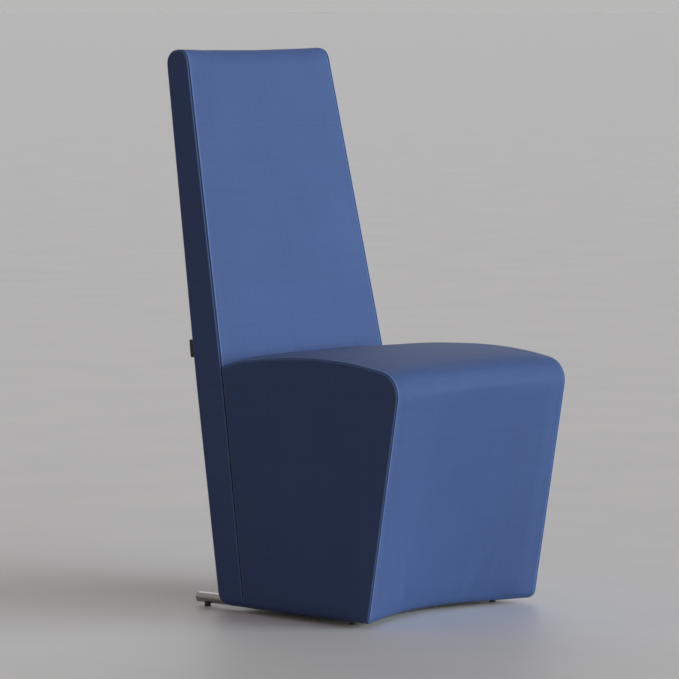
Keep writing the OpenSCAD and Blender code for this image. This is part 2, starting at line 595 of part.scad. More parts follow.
// Back upholstery
module back_foam() color("khaki") placed() strip([for (u = back_us()) concat(
    back_face(u, skin, pad_in),
    flip([for (z = back_zs) [u * (half_w(z) - pad_in), back_front(z) + skin + back_foam_t, z]]))]);
module back_top_foam() color("khaki") placed() stack([for (u = back_us()) back_cap(u, skin, pad_in)]);
module back_rear_foam() color("khaki") placed() back_piece(wide(foam_back_z, pad_top_z, pad_in),
    along_rear(foam_back_z, pad_top_z, skin, skin + rear_foam_t));
module edge_pad(side) mirrored(side)
    back_piece(beside(skirt_h, chair_h, skin, skin + pad_t), back_outline(edge_r + lay_gap));
module left_edge_pad() color("khaki") placed() edge_pad(-1);
module right_edge_pad() color("khaki") placed() edge_pad(1);
module back_front_cover() color("#3f5a8c") placed() strip([for (u = back_us())
    concat(back_wrap(u, 0, edge_r), flip(back_wrap(u, cover_t, edge_r)))]);
module tube_slot(side) {
    translate([side * runner_x, seat_depth, runner_z]) rotate([-90, 0, 0])
        cylinder(h = runner_rear - seat_depth, r = tube_r + tube_gap);
    translate([side * runner_x - tube_r - tube_gap, seat_depth - foot_rake, 0])
        cube([tube_d + 2 * tube_gap, foot_rake + foot_t + runner_out, runner_z]);
}
module back_rear_cover() color("#3f5a8c") placed() difference() {
    strip([for (u = [-1, 1]) [for (p = concat(rear_wrap(0), flip(rear_wrap(cover_t))))
        [u * (half_w(p[1]) - edge_r), p[0], p[1]]]]);
    for (side = [-1, 1]) tube_slot(side);
}
module edge_cover(side) mirrored(side) strip([for (e = lip(edge_r, cover_t))
    [for (p = edge_outline(e[0])) [half_w(p[1]) - e[1], p[0], p[1]]]]);
module left_edge_cover() color("#2e4470") placed() edge_cover(-1);
module right_edge_cover() color("#2e4470") placed() edge_cover(1);
tag_z = seat_rear_h + tag_l / 2;
module blank_tag() color("#181818") placed() mirror([1, 0, 0])
    back_piece(beside(tag_z, tag_z + tag_l, edge_r - tag_t, edge_r),
        along_rear(tag_z, tag_z + tag_l, -tag_out, -lay_gap));

left_runner_tube();
right_runner_tube();
runner_end_plugs();
left_rear_glide();
right_rear_glide();
left_front_glide();
right_front_glide();
runner_bolts();
base_board();
left_side_board();
right_side_board();
front_board();
front_posts();
rear_posts();
seat_front_rail();
seat_rear_rail();
lengthwise_webbing();
crosswise_webbing();
seat_foam();
front_foam();
left_side_pad();
right_side_pad();
seat_cover();
left_side_cover();
right_side_cover();
dust_cover();
left_stile();
right_stile();
back_foot_rail();
back_joint_rail();
back_middle_rail();
back_top_rail();
back_panel();
back_webbing();
back_foam();
back_top_foam();
back_rear_foam();
left_edge_pad();
right_edge_pad();
back_front_cover();
back_rear_cover();
left_edge_cover();
right_edge_cover();
frame_bolts();
frame_nuts();
blank_tag();
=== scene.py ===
# %% [markdown]
# # A high back dining chair in blue cloth
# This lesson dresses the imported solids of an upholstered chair. The chair is a padded block for a seat and a
# tall leaning slab for a back, both covered with one plain woven cloth. Two steel tubes lie under it.
# The solids give every size and place. Here they get cloth that is drawn over foam, seams, threads and metal.

# %% Load the solids
import json
import math

import bpy
import numpy as np
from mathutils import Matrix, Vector, noise


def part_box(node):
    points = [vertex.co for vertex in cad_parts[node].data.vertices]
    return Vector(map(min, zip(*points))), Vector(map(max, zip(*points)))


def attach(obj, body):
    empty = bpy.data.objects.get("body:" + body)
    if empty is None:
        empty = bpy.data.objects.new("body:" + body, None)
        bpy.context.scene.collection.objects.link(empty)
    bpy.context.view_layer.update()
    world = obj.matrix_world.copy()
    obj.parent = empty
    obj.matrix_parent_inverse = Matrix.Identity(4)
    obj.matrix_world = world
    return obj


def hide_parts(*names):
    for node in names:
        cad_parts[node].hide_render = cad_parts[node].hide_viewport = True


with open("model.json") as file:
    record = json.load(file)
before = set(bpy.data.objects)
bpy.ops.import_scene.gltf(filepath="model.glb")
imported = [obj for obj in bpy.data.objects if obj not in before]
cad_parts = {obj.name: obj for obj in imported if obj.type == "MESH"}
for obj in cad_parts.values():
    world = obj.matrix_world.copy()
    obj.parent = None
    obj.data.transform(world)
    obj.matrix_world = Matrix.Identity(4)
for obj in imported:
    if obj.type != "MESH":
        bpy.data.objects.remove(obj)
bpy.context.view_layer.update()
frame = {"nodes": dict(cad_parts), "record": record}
nodes = frame["nodes"]

# %% [markdown]
# ## The camera
# The photograph was taken from far away with a long lens, from the front left and a little above. A camera
# fitted to the chair's corners gives the place, the turn and the focal length. That is in pixels of a picture
# 679 wide, so it is turned into millimetres on a 36 mm sensor.

# %% Set up the camera
PICTURE_W, FOCAL_PX, SENSOR_MM = 679, 4311.15, 36.0
CAMERA_AT = (-6.28524, -5.48172, 1.17672)
LOOKS_DOWN, TURNED = 4.512, -48.653  # degrees


def add_object(name, data):
    thing = bpy.data.objects.new(name, data)
    bpy.context.scene.collection.objects.link(thing)
    return thing


camera_data = bpy.data.cameras.new("photo_camera")
camera = add_object("photo_camera", camera_data)
camera_data.sensor_width = SENSOR_MM
camera_data.lens = SENSOR_MM * FOCAL_PX / PICTURE_W
camera_data.clip_end = 400
camera.location = CAMERA_AT
camera.rotation_euler = (math.radians(90 - LOOKS_DOWN), 0, math.radians(TURNED))
bpy.context.scene.camera = camera
print("lens:", round(camera_data.lens, 1), "mm")

# %% [markdown]
# ## Small helpers
# An operator works on whatever is selected, and the loaded solids are all selected. So everything is let go
# before each new piece, and a helper picks what the next operators work on.

# %% Selecting
def let_go():
    for thing in bpy.context.selected_objects:
        thing.select_set(False)


def pick(*things):
    let_go()
    for thing in things:
        thing.select_set(True)
    bpy.context.view_layer.objects.active = things[0]


def mode(name):
    bpy.ops.object.mode_set(mode=name)


def named(thing, name):
    thing.name = thing.data.name = name
    return thing


def give(thing, material):
    thing.data.materials.clear()
    thing.data.materials.append(material)


def apply_all(thing):
    pick(thing)
    for modifier in list(thing.modifiers):
        bpy.ops.object.modifier_apply(modifier=modifier.name)


def coordinates(thing):
    flat = np.zeros(len(thing.data.vertices) * 3)
    thing.data.vertices.foreach_get("co", flat)
    return flat.reshape(-1, 3)


def place(thing, points):
    thing.data.vertices.foreach_set("co", np.asarray(points, np.float32).ravel())
    thing.data.update()


print("selected:", len(bpy.context.selected_objects))

# %% [markdown]
# ## Sizes of the upholstery
# These are the sizes that the solids were drawn with, in millimetres. The side view counts its depth from the
# seat's sharp front edge, and the solids are centred, so one node tells how far the view is shifted.

# %% Sizes in millimetres
CHAIR_H, CHAIR_W, BACK_IN, TOP_W, SKIRT_H = 1080, 506, 10, 415, 10
FRONT_H, SEAT_DEPTH, FRONT_SETBACK, FRONT_BOW = 477, 457, 80, 60
CORNER_REACH, SHOULDER_H, SHOULDER_IN = 44, 490, 74
SEAT_REAR_H, SEAT_CROWN, TAIL_CROWN = 470, 5, 15
BEND_H, FOOT_RAKE, TOP_RAKE = 450, 56, 126
FOOT_T, BEND_T, TOP_T = 65, 71, 56
TOP_FRONT_R, TOP_REAR_R, FOOT_R = 25, 26, 30
BACK_CROWN, TOP_SAG, EDGE_R, HEM_R = 5, 3, 4, 15
RUNNER_OUT, RUNNER_X, RUNNER_Z, TUBE_R = 84, 207, 17, 10
SEAM = CHAIR_W / 2 - EDGE_R
SEAT_TURN, BACK_TURN, TUCK_TURN = 2.2, 2.8, 2  # the flat panels turn over these, and a low crown is the rest
SHIFT = SEAT_DEPTH - FOOT_RAKE + FOOT_T + RUNNER_OUT - 1000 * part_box("left_runner_tube")[1].y
print("the side view is shifted by", round(SHIFT, 2), "mm")

# %% [markdown]
# ## The rule of the back
# The back is a slab that bends at one height: a straight line plus a smooth ramp, because a padded slab bends
# softly. The same ramp narrows the slab above the bend. A round corner is found from a point on either side.

# %% Lines of the back
LOW_SLOPE = FOOT_RAKE / (BEND_H - SKIRT_H)
HIGH_SLOPE = TOP_RAKE / (CHAIR_H - BEND_H)
LOW_GAIN = (BEND_T - FOOT_T) / (BEND_H - SKIRT_H)
HIGH_GAIN = (TOP_T - BEND_T) / (CHAIR_H - BEND_H)


def ramp(z, soft=20.0):
    return 0.5 * (z - BEND_H + np.sqrt((z - BEND_H) ** 2 + soft**2))


def back_front(z):
    return SEAT_DEPTH + LOW_SLOPE * (z - BEND_H) + (HIGH_SLOPE - LOW_SLOPE) * ramp(z)


def back_rear(z):
    return back_front(z) + BEND_T + LOW_GAIN * (z - BEND_H) + (HIGH_GAIN - LOW_GAIN) * ramp(z)


def half_w(z):
    low = CHAIR_W / 2 - BACK_IN
    return low - (low - TOP_W / 2) / (CHAIR_H - BEND_H) * ramp(z)


def arc(p, c, q, r, steps=20):
    """The round corner at c between the directions to p and q."""
    p, c, q = np.array(p, float), np.array(c, float), np.array(q, float)
    a, b = (p - c) / np.linalg.norm(p - c), (q - c) / np.linalg.norm(q - c)
    half = math.acos(float(a @ b)) / 2
    mid = c + (a + b) / np.linalg.norm(a + b) * r / math.sin(half)
    first, last = c + a * r / math.tan(half) - mid, c + b * r / math.tan(half) - mid
    sweep = math.pi - 2 * half
    t = np.linspace(0, 1, steps)[:, None]
    return mid + (first * np.sin(sweep * (1 - t)) + last * np.sin(sweep * t)) / math.sin(sweep)


def column(line, z0, z1, pitch=4.0):
    z = np.linspace(z0, z1, max(2, int(abs(z1 - z0) / pitch)))
    return np.stack([line(z), z], 1)


def on(line, z):
    return line(z), z


UPPER_Z, LOWER_Z = 800, 200  # heights on the straight parts above and below the bend
front_top, rear_top = on(back_front, CHAIR_H), on(back_rear, CHAIR_H)
ARC_FRONT = arc(on(back_front, UPPER_Z), front_top, rear_top, TOP_FRONT_R, 14)
ARC_REAR = arc(front_top, rear_top, on(back_rear, UPPER_Z), TOP_REAR_R)
ARC_FOOT = arc(on(back_rear, LOWER_Z), on(back_rear, SKIRT_H), on(back_front, SKIRT_H), FOOT_R)
print("the back is", [round(2 * float(half_w(z))) for z in (SKIRT_H, CHAIR_H)], "mm wide at its foot and top")

# %% [markdown]
# ## The rule of the seat
# The seat's top edge is straight, but its foot is bowed inwards, so the front is a ruled surface: each upright
# line leans a little more than its neighbour. Then the line turns over a round edge, runs over a low crown and
# drops to the back. Bezier curves draw that. The hem turns under the foot on a curve of its own, because foam
# has no sharp corner.

# %% Lines of the seat
FRONT_SLOPE, SHOULDER_SLOPE, TAIL_SLOPE = 0.2, -0.126, -0.42  # of the crown: front, shoulder, rear end
HANDLE = 0.55  # share of the way to a sharp corner at which a round corner's handles stand
UNDER, TURN_IN, LAY_GAP = 25, 13, 0.3  # the hem's reach under the foot, its turn, and the gap at the back


def lift(x):
    return SEAT_CROWN * (1 - np.abs(x / SEAM) ** 4)


def narrowing(y):
    """Share of its width that the seat has at a depth."""
    return 1 - BACK_IN / (CHAIR_W / 2) * np.clip(y / SEAT_DEPTH, 0, 1)


def bow(x):
    return FRONT_BOW * np.clip(1 - (x / SEAM) ** 2, 0, 1) ** 1.3


def lean(x):
    return (FRONT_SETBACK + bow(x)) / (FRONT_H + lift(x) - SKIRT_H)


def bezier(p, q, r, s, t):
    v = 1 - t
    return v**3 * p + 3 * v * v * t * q + 3 * v * t * t * r + t**3 * s


def straight(p, q):
    return p, p + (q - p) / 3, p + (q - p) * 2 / 3, q


def corner(p, sharp, q):
    return p, p + (sharp - p) * HANDLE, q + (sharp - q) * HANDLE, q


def seat_points(xs, marks):
    """Side view points of the seat's cover: a row for each x, a column for each (stretch, share) mark."""
    rows = []
    for x in xs:
        up = lift(x)
        edge = np.array([0, FRONT_H + up])
        down = np.array([lean(x), -1]) / math.hypot(lean(x), 1)
        along = np.array([1, FRONT_SLOPE]) / math.hypot(1, FRONT_SLOPE)
        a, b = edge + CORNER_REACH * down, edge + CORNER_REACH * along
        shoulder = np.array([SEAT_DEPTH - SHOULDER_IN, SHOULDER_H + up])
        tail_z = SEAT_REAR_H + up * TAIL_CROWN / SEAT_CROWN
        tail = np.array([back_front(tail_z) - LAY_GAP, tail_z])
        foot = np.array([(FRONT_H + up - SKIRT_H) * lean(x), SKIRT_H])
        under, turn_in, turn_up = foot + [UNDER, 0], foot + [TURN_IN, 0], foot - TURN_IN * down
        reach, drop = (shoulder - b)[0] / 3, (tail - shoulder)[0] / 3
        level = np.array([1, SHOULDER_SLOPE])
        stretches = [
            straight(under, turn_in),
            corner(turn_in, foot, turn_up),
            straight(turn_up, a),
            corner(a, edge, b),
            (b, b + reach * np.array([1, FRONT_SLOPE]), shoulder - reach * level, shoulder),
            (shoulder, shoulder + drop * level, tail - drop * np.array([1, TAIL_SLOPE]), tail),
        ]
        rows.append([bezier(*stretches[k], t) for k, t in marks])
    return np.array(rows)


print("the foot is bowed in by", FRONT_BOW, "mm and leans", round(float(lean(0)), 3), "in its middle")

# %% [markdown]
# ## Where the rows of a panel lie
# A cloth panel needs close rows beside its seams, where it rolls over, and wide ones elsewhere. The rows near
# a border are a list of distances, and between them the pitch is even.

# %% Spacing of the rows
BORDER = np.array([0, 0.4, 1, 2, 3.2, 5, 7.5, 10, 12.6, 16, 21, 28])


def filled(start, stop, length, pitch):
    """Shares of a length: the given distances at its two ends, and even rows between them."""
    inner = length - start[-1] - stop[-1]
    count = max(2, round(inner / pitch))
    middle = start[-1] + inner * np.arange(1, count) / count
    return np.concatenate([start, middle, length - stop[::-1]]) / length


def spaced(length, pitch, start=True, end=True):
    return filled(BORDER if start else BORDER[:1], BORDER if end else BORDER[:1], length, pitch)


def steps_of(points):
    """Distance along a line of points."""
    return np.concatenate([[0], np.cumsum(np.linalg.norm(np.diff(points, axis=0), axis=1))])


def at_shares(points, shares):
    """Points at shares of a line's length."""
    s = steps_of(points)
    return np.stack([np.interp(shares * s[-1], s, points[:, k]) for k in range(points.shape[1])], 1)


print("rows beside a seam, in mm:", BORDER.tolist())

# %% [markdown]
# ## A panel of cloth
# Cloth is cut flat, so each panel starts as a flat grid primitive, whose points are then moved to the rule. Its
# UV map holds real distances along the threads, in metres, so the weave follows the cloth. At a seam the cloth
# rolls under in a quarter circle of 3 mm, which leaves the thin dark valley that a sewn seam shows. The
# distance to the nearest seam is stored for the material.

# %% Wrap a grid on a rule
ROLL_R = 3.0


def roll(distance, radius=ROLL_R):
    """How far cloth has turned in over a round edge, at a distance from its end."""
    inside = np.clip(radius - distance, 0, radius)
    return radius - np.sqrt(radius**2 - inside**2)


def outward(points, inside):
    """Unit normals of a grid of points, pointing away from the point inside."""
    du, dv = np.gradient(points, axis=0), np.gradient(points, axis=1)
    n = np.cross(du, dv)
    n /= np.linalg.norm(n, axis=2, keepdims=True)
    if ((points - inside) * n).sum(2).mean() < 0:
        n = -n
    return n


def grid_lengths(points):
    """Distances in mm across and along a grid of points, measured on its surface."""
    across = np.cumsum(np.linalg.norm(np.diff(points, axis=0, prepend=points[:1]), axis=2), axis=0)
    along = np.cumsum(np.linalg.norm(np.diff(points, axis=1, prepend=points[:, :1]), axis=2), axis=1)
    return across, along


def edge_distance(points):
    """Distance on the surface to the nearest border of the grid."""
    u, v = grid_lengths(points)
    return np.min([u, u[-1:] - u, v, v[:, -1:] - v], axis=0)


def wrap(name, points, seam, inside=None, normals=None, pattern=None):
    """A grid primitive moved to the points, in mm, with its UV map and its distance to the seams."""
    nu, nv = points.shape[:2]
    if normals is None:
        normals = outward(points, np.array(inside, float))
    if pattern is None:
        across, along = grid_lengths(points)
        across = across - across[nu // 2]
    else:
        across, along = pattern[..., 0], pattern[..., 1]
    final = points - normals * roll(seam)[..., None]
    let_go()
    bpy.ops.mesh.primitive_grid_add(x_subdivisions=nu - 1, y_subdivisions=nv - 1, size=2)
    cloth = named(bpy.context.object, name)
    flat = coordinates(cloth)
    i = np.rint((flat[:, 0] + 1) / 2 * (nu - 1)).astype(int)
    j = np.rint((flat[:, 1] + 1) / 2 * (nv - 1)).astype(int)
    assert len(flat) == nu * nv, "the grid has other rows than the rule"
    place(cloth, (final[i, j] - [0, SHIFT, 0]) / 1000)
    n = normals[i, j]
    face = cloth.data.polygons[len(cloth.data.polygons) // 2]
    if face.normal @ Vector(n[face.vertices[0]]) < 0:
        pick(cloth)
        mode("EDIT")
        bpy.ops.mesh.select_all(action="SELECT")
        bpy.ops.mesh.flip_normals()
        mode("OBJECT")
    uv = np.stack([across[i, j], along[i, j]], 1) / 1000
    loop_vertex = np.zeros(len(cloth.data.loops), int)
    cloth.data.loops.foreach_get("vertex_index", loop_vertex)
    cloth.data.uv_layers[0].data.foreach_set("uv", uv[loop_vertex].astype(np.float32).ravel())
    stored = cloth.data.attributes.new("seam", "FLOAT", "POINT")
    stored.data.foreach_set("value", (seam[i, j] / 1000).astype(np.float32))
    print(name, "has", nu, "by", nv, "rows")
    return cloth, n, seam[i, j]


# %% [markdown]
# ## Foam that pushes, cloth that holds
# A tight cover swells between its seams because the foam under it is compressed. Blender's cloth does the same:
# the border is pinned, air pressure pushes from behind, and gravity is off. The result is taken along the
# surface's normals and held to a few millimetres, because real covers are cut to size. Half of that is taken
# off again inside, so that the panel keeps its size on the whole. A little uneven foam goes on top.

# %% Swell a panel
FRAMES = 20
RULES = {"quality": 5, "mass": 0.3, "tension_stiffness": 25, "compression_stiffness": 25, "shear_stiffness": 15,
         "bending_stiffness": 3, "vertex_group_mass": "hold", "pin_stiffness": 1, "use_pressure": True,
         "uniform_pressure_force": 4.0}
FREE, SUNK, UNEVEN = (4, 30), (8, 100), (6, 40)  # mm from the seam where each begins, and over how many
TAKEN_OFF, UNEVEN_BY = 0.5, 0.35  # share of the cap that is taken off inside, and mm of uneven foam
LUMPS, SMALL_LUMPS = 14.0, 41.0  # of the foam, per metre


def fade_in(distance, start, over):
    return np.clip((distance - start) / over, 0, 1)


def weigh(cloth, name, weights):
    group = cloth.vertex_groups.new(name=name)
    for k, w in enumerate(weights):
        if w > 0:
            group.add([k], float(w), "REPLACE")


def pushed(cloth, normals):
    """How far air pressure moves each point of a pinned cloth along its normal, in mm."""
    start = coordinates(cloth)
    pick(cloth)
    bpy.ops.object.modifier_add(type="CLOTH")
    air = cloth.modifiers[-1]
    for rule, value in RULES.items():
        setattr(air.settings, rule, value)
    air.settings.effector_weights.gravity = 0
    air.collision_settings.use_collision = False
    air.point_cache.frame_start, air.point_cache.frame_end = 1, FRAMES
    for f in range(1, FRAMES + 1):
        bpy.context.scene.frame_set(f)
    bpy.ops.object.modifier_apply(modifier=air.name)
    rise = ((coordinates(cloth) - start) * normals).sum(1) * 1000
    bpy.context.scene.frame_set(1)
    return rise


def swell(cloth, normals, seam, cap):
    start = coordinates(cloth)
    weigh(cloth, "hold", 1 - fade_in(seam, *FREE) ** 1.5)
    rise = pushed(cloth, normals)
    inner = fade_in(seam, *SUNK)
    held = cap * np.tanh(rise / cap) - TAKEN_OFF * cap * inner**2 * (3 - 2 * inner)
    foam = [noise.noise(Vector(p) * LUMPS) + 0.5 * noise.noise(Vector(p) * SMALL_LUMPS) for p in start]
    rise_in_mm = held + UNEVEN_BY * np.array(foam) * fade_in(seam, *UNEVEN)
    place(cloth, start + normals * (rise_in_mm / 1000)[:, None])
    print(cloth.name, "swells by", round(float(rise.max()), 1), "held to", round(float(held.max()), 2), "mm")


# %% [markdown]
# ## From a skin to a padded piece
# Solidify gives the skin the thickness of its foam, inwards, so that the piece is one closed form. One level of
# subdivision then rounds the rolled seams. Where there is room for less foam, a vertex group says so.

# %% Thicken and finish a panel
def thicken(cloth, thickness, offset, group=""):
    body = cloth.modifiers.new("body", "SOLIDIFY")
    body.thickness, body.offset, body.vertex_group = thickness / 1000, offset, group
    soft = cloth.modifiers.new("soft", "SUBSURF")
    soft.levels = soft.render_levels = 1
    apply_all(cloth)
    bpy.ops.object.shade_smooth()


def pad(cloth, thickness, seam, thin, rim=2.0):
    """A thin rim of foam at the seams, the full thickness 16 mm inside them."""
    share = (rim + (thickness - rim) * fade_in(seam, 3, 13)) / thickness * thin
    weigh(cloth, "thickness", np.maximum(share, rim / thickness))
    thicken(cloth, thickness, -1, "thickness")
    cloth.vertex_groups.clear()


def dress(piece, material, slot, *stands_for):
    give(piece, material)
    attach(piece, "root")
    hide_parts(*stands_for)
    print(piece.name, "has", len(piece.data.polygons), "faces")


def upholster(wrapped, cap, foam, room, slot, *stands_for):
    """Swell, pad and dress a wrapped panel. room gives the share of the foam that fits, by height."""
    panel, normals, seam = wrapped
    thin = room(coordinates(panel)[:, 2] * 1000)
    swell(panel, normals, seam, cap)
    pad(panel, foam, seam, thin)
    dress(panel, cloth_blue, slot, *stands_for)
    return panel


# %% [markdown]
# ## Building materials
# A material is a small network of nodes. These helpers add a node and join it in one line, so that the
# networks below read like formulas. An effect that several materials share becomes a node group.

# %% Node helpers
def set_input(tree, socket, value):
    if isinstance(value, bpy.types.NodeSocket):
        tree.links.new(value, socket)
    else:
        socket.default_value = value


def feed(tree, node, **inputs):
    """Set or join a node's inputs by name, with _ for a space."""
    for title, value in inputs.items():
        set_input(tree, node.inputs[title.replace("_", " ")], value)


def add(tree, kind, *inputs, **settings):
    node = tree.nodes.new("ShaderNode" + kind)
    for key, value in settings.items():
        setattr(node, key, value)
    for k, value in enumerate(inputs):
        if value is not None:
            set_input(tree, node.inputs[k], value)
    return node


def maths(tree, operation, a, b=0.0, c=0.0):
    return add(tree, "Math", a, b, c, operation=operation).outputs[0]


def choose(tree, share, a, b):
    return add(tree, "Mix", share, None, a, b, data_type="FLOAT").outputs[0]


def blend(tree, share, a, b):
    """Mix two colours, each a link or red, green and blue."""
    a, b = [(*c, 1) if isinstance(c, tuple) else c for c in (a, b)]
    return add(tree, "Mix", share, *[None] * 5, a, b, data_type="RGBA").outputs[2]


def tint(colour, gain, more=0.0):
    return tuple(c * gain + more for c in colour)


def spread(tree, value, low, high, new_low=0.0, new_high=1.0):
    return add(tree, "MapRange", value, low, high, new_low, new_high).outputs[0]


def noise_of(tree, vector, scale, detail=2.0, **settings):
    node = add(tree, "TexNoise", vector, **settings)
    feed(tree, node, Scale=scale, Detail=detail)
    return node.outputs[0]


def object_place(tree):
    return tree.nodes.new("ShaderNodeTexCoord").outputs["Object"]


def bumped(tree, height, strength, distance, **under):
    """A bump's normal, on top of the Normal given in under."""
    node = add(tree, "Bump")
    feed(tree, node, Height=height, Strength=strength, Distance=distance, **under)
    return node.outputs[0]


def seen_rays(tree):
    """1 for what the camera sees, directly or in a reflection, else 0."""
    rays = tree.nodes.new("ShaderNodeLightPath").outputs
    return maths(tree, "MAXIMUM", rays["Is Camera Ray"], rays["Is Glossy Ray"])


def times(tree, vector, by):
    return add(tree, "VectorMath", vector, by, operation="MULTIPLY").outputs[0]


def new_group(name, inputs, outputs):
    """A group with a Vector input before the others, which are (name, kind, value)."""
    tree = bpy.data.node_groups.new(name, "ShaderNodeTree")
    for title, kind, value in (("Vector", "Vector", None), *inputs):
        socket = tree.interface.new_socket(name=title, in_out="INPUT", socket_type="NodeSocket" + kind)
        if value is not None:
            socket.default_value = value
    for title in outputs:
        tree.interface.new_socket(name=title, in_out="OUTPUT", socket_type="NodeSocketFloat")
    return tree, tree.nodes.new("NodeGroupInput").outputs, tree.nodes.new("NodeGroupOutput")


def use_group(tree, group, **inputs):
    node = tree.nodes.new("ShaderNodeGroup")
    node.node_tree = group
    feed(tree, node, **inputs)
    return node.outputs


def new_material(name, **settings):
    material = bpy.data.materials.new(name)
    material.use_nodes = True
    tree = material.node_tree
    shader = tree.nodes["Principled BSDF"]
    feed(tree, shader, **settings)
    return material, tree, shader


def paint(tree, shader, share, colours, rough, relief):
    """Colour by share, roughness from (value, gain, base), relief from (height, strength, distance)."""
    feed(tree, shader, Base_Color=blend(tree, share, *colours), Normal=bumped(tree, *relief))
    if rough:
        feed(tree, shader, Roughness=maths(tree, "MULTIPLY_ADD", *rough))


# %% [markdown]
# ## Plain weave
# In a plain weave each thread goes over one and under the next, like a draughts board. Where a cell of the
# board is even the warp is on top and is round across its own width, elsewhere the weft is. The group gives
# the height for the bump, a tone for each thread, because dyed yarns differ, and the yarns' thick places.

# %% Node group for the weave
THREAD = 0.0011  # metres
THICK_PLACES = (420.0, 300.0, 1.0)  # of the yarns, per metre
weave, enter, leave = new_group("Plain weave", [("Thread", "Float", THREAD)], ["Height", "Tone", "Slub"])
cells = add(weave, "VectorMath", enter["Vector"], operation="SCALE")
feed(weave, cells, Scale=maths(weave, "DIVIDE", 1.0, enter["Thread"]))
split = add(weave, "SeparateXYZ", cells.outputs[0]).outputs
u_cell, v_cell = [maths(weave, "FLOOR", split[k]) for k in (0, 1)]
halves = [maths(weave, "MULTIPLY", maths(weave, "FRACT", split[k]), math.pi) for k in (0, 1)]
u_round, v_round = [maths(weave, "SINE", half) for half in halves]
even = maths(weave, "FLOORED_MODULO", maths(weave, "ADD", u_cell, v_cell), 2.0)
warp = maths(weave, "MULTIPLY", u_round, maths(weave, "MULTIPLY_ADD", v_round, 0.5, 0.5))
weft = maths(weave, "MULTIPLY", v_round, maths(weave, "MULTIPLY_ADD", u_round, 0.5, 0.5))
thread_of = (u_cell, maths(weave, "ADD", v_cell, 0.37))
tones = [add(weave, "TexWhiteNoise", None, w, noise_dimensions="1D").outputs[0] for w in thread_of]
slub = noise_of(weave, times(weave, enter["Vector"], THICK_PLACES), 5.0, noise_dimensions="2D")
feed(weave, leave, Height=choose(weave, even, warp, weft), Tone=choose(weave, even, *tones), Slub=slub)
print("one thread:", 1000 * THREAD, "mm")

# %% [markdown]
# ## Seams in the cloth
# Beside a seam the stitches draw the cloth in, which leaves puckers a few millimetres long. In the valley the
# colour is painted darker, as painted shade for the shadow in the seam, and the rolled edge is rubbed a little
# paler. All of that needs only the distance to the seam.

# %% Node group for seams
PUCKER = (0.002, 0.016)  # distances in metres between which each effect fades
# VALLEY: the distances over which the seam's valley is painted darker, as painted shade
VALLEY = (0.0013, 0.0025)
RUBBED_IN, RUBBED_OUT = (0.0016, 0.0026), (0.0034, 0.0056)
seams, enter, leave = new_group(
    "Seam wear and painted shade", [("Distance", "Float", 1.0), ("Stitch", "Float", 0.008)], ["Pucker", "Valley", "Rubbed"]
)
stitches = maths(seams, "DIVIDE", 1.0, enter["Stitch"])
ripple = noise_of(seams, enter["Vector"], stitches, noise_dimensions="2D")
near = spread(seams, enter["Distance"], *PUCKER, 1.0, 0.0)
outer = spread(seams, enter["Distance"], *RUBBED_OUT, 1.0, 0.0)
feed(
    seams,
    leave,
    Pucker=maths(seams, "MULTIPLY", ripple, near),
    Valley=spread(seams, enter["Distance"], *VALLEY, 1.0, 0.0),
    Rubbed=maths(seams, "MULTIPLY", spread(seams, enter["Distance"], *RUBBED_IN), outer),
)
print("a seam's valley ends", 1000 * VALLEY[1], "mm from it")

# %% [markdown]
# ## The upholstery cloth
# A fine matt wool mix: two blues, mixed thread by thread and by the yarns' thick places, with slow changes
# over the surface. Fibres that stand off the cloth scatter light at low angles, which is what the sheen does:
# it greys the seat's top, seen almost edge on.

# %% Material for the cloth
CLOTH_DARK, CLOTH_LIGHT = (0.026, 0.066, 0.215), (0.055, 0.121, 0.333)
TONE_SHARE, SLUB_SHARE, SLOW_SHARE = 0.35, 1.4, 0.3  # of the light blue


def cloth_material(name, dark, light):
    material, tree, shader = new_material(
        name, Sheen_Weight=0.04, Sheen_Roughness=0.35, Sheen_Tint=(1.0, 0.98, 0.94, 1.0), Specular_IOR_Level=0.6
    )
    uv = tree.nodes.new("ShaderNodeUVMap").outputs[0]
    threads = use_group(tree, weave, Vector=uv, Thread=THREAD)
    distance = add(tree, "Attribute", attribute_name="seam").outputs["Fac"]
    group_effects = use_group(tree, seams, Vector=uv, Distance=distance)
    slow = noise_of(tree, object_place(tree), 9.0)
    share = maths(tree, "MULTIPLY_ADD", threads["Tone"], TONE_SHARE, -0.3)
    share = maths(tree, "MULTIPLY_ADD", threads["Slub"], SLUB_SHARE, share)
    share = maths(tree, "MULTIPLY_ADD", slow, SLOW_SHARE, maths(tree, "SUBTRACT", share, 0.15))
    rubbed = maths(tree, "MULTIPLY", group_effects["Rubbed"], 0.7)
    colour = blend(tree, rubbed, blend(tree, share, dark, light), tint(light, 1.6, 0.03))
    # The seam's valley is painted darker, towards a darkened blue: painted shade for the shadow in the seam
    colour = blend(tree, maths(tree, "MULTIPLY", group_effects["Valley"], 0.9), colour, tint(dark, 0.3))
    rough = maths(tree, "MULTIPLY_ADD", threads["Height"], -0.1, 0.78)
    fine = bumped(tree, threads["Height"], 0.5, 0.00025)
    coarse = bumped(tree, group_effects["Pucker"], 0.6, 0.0008, Normal=fine)
    feed(tree, shader, Base_Color=colour, Roughness=rough, Normal=coarse)
    return material


cloth_blue = cloth_material("blue_wool_cloth", CLOTH_DARK, CLOTH_LIGHT)
print("cloth:", cloth_blue.name, "with", len(cloth_blue.node_tree.nodes), "nodes")

# %% [markdown]
# ## Metal, nylon and wood
# Brushed steel is a mirror drawn out by fine scratches along the tube, so noise is stretched along it and
# moves the roughness and the height a little. Slow smudges keep large areas from being even. Wood uses
# stretched noise too: fine fibres, and broad bands for the growth rings.

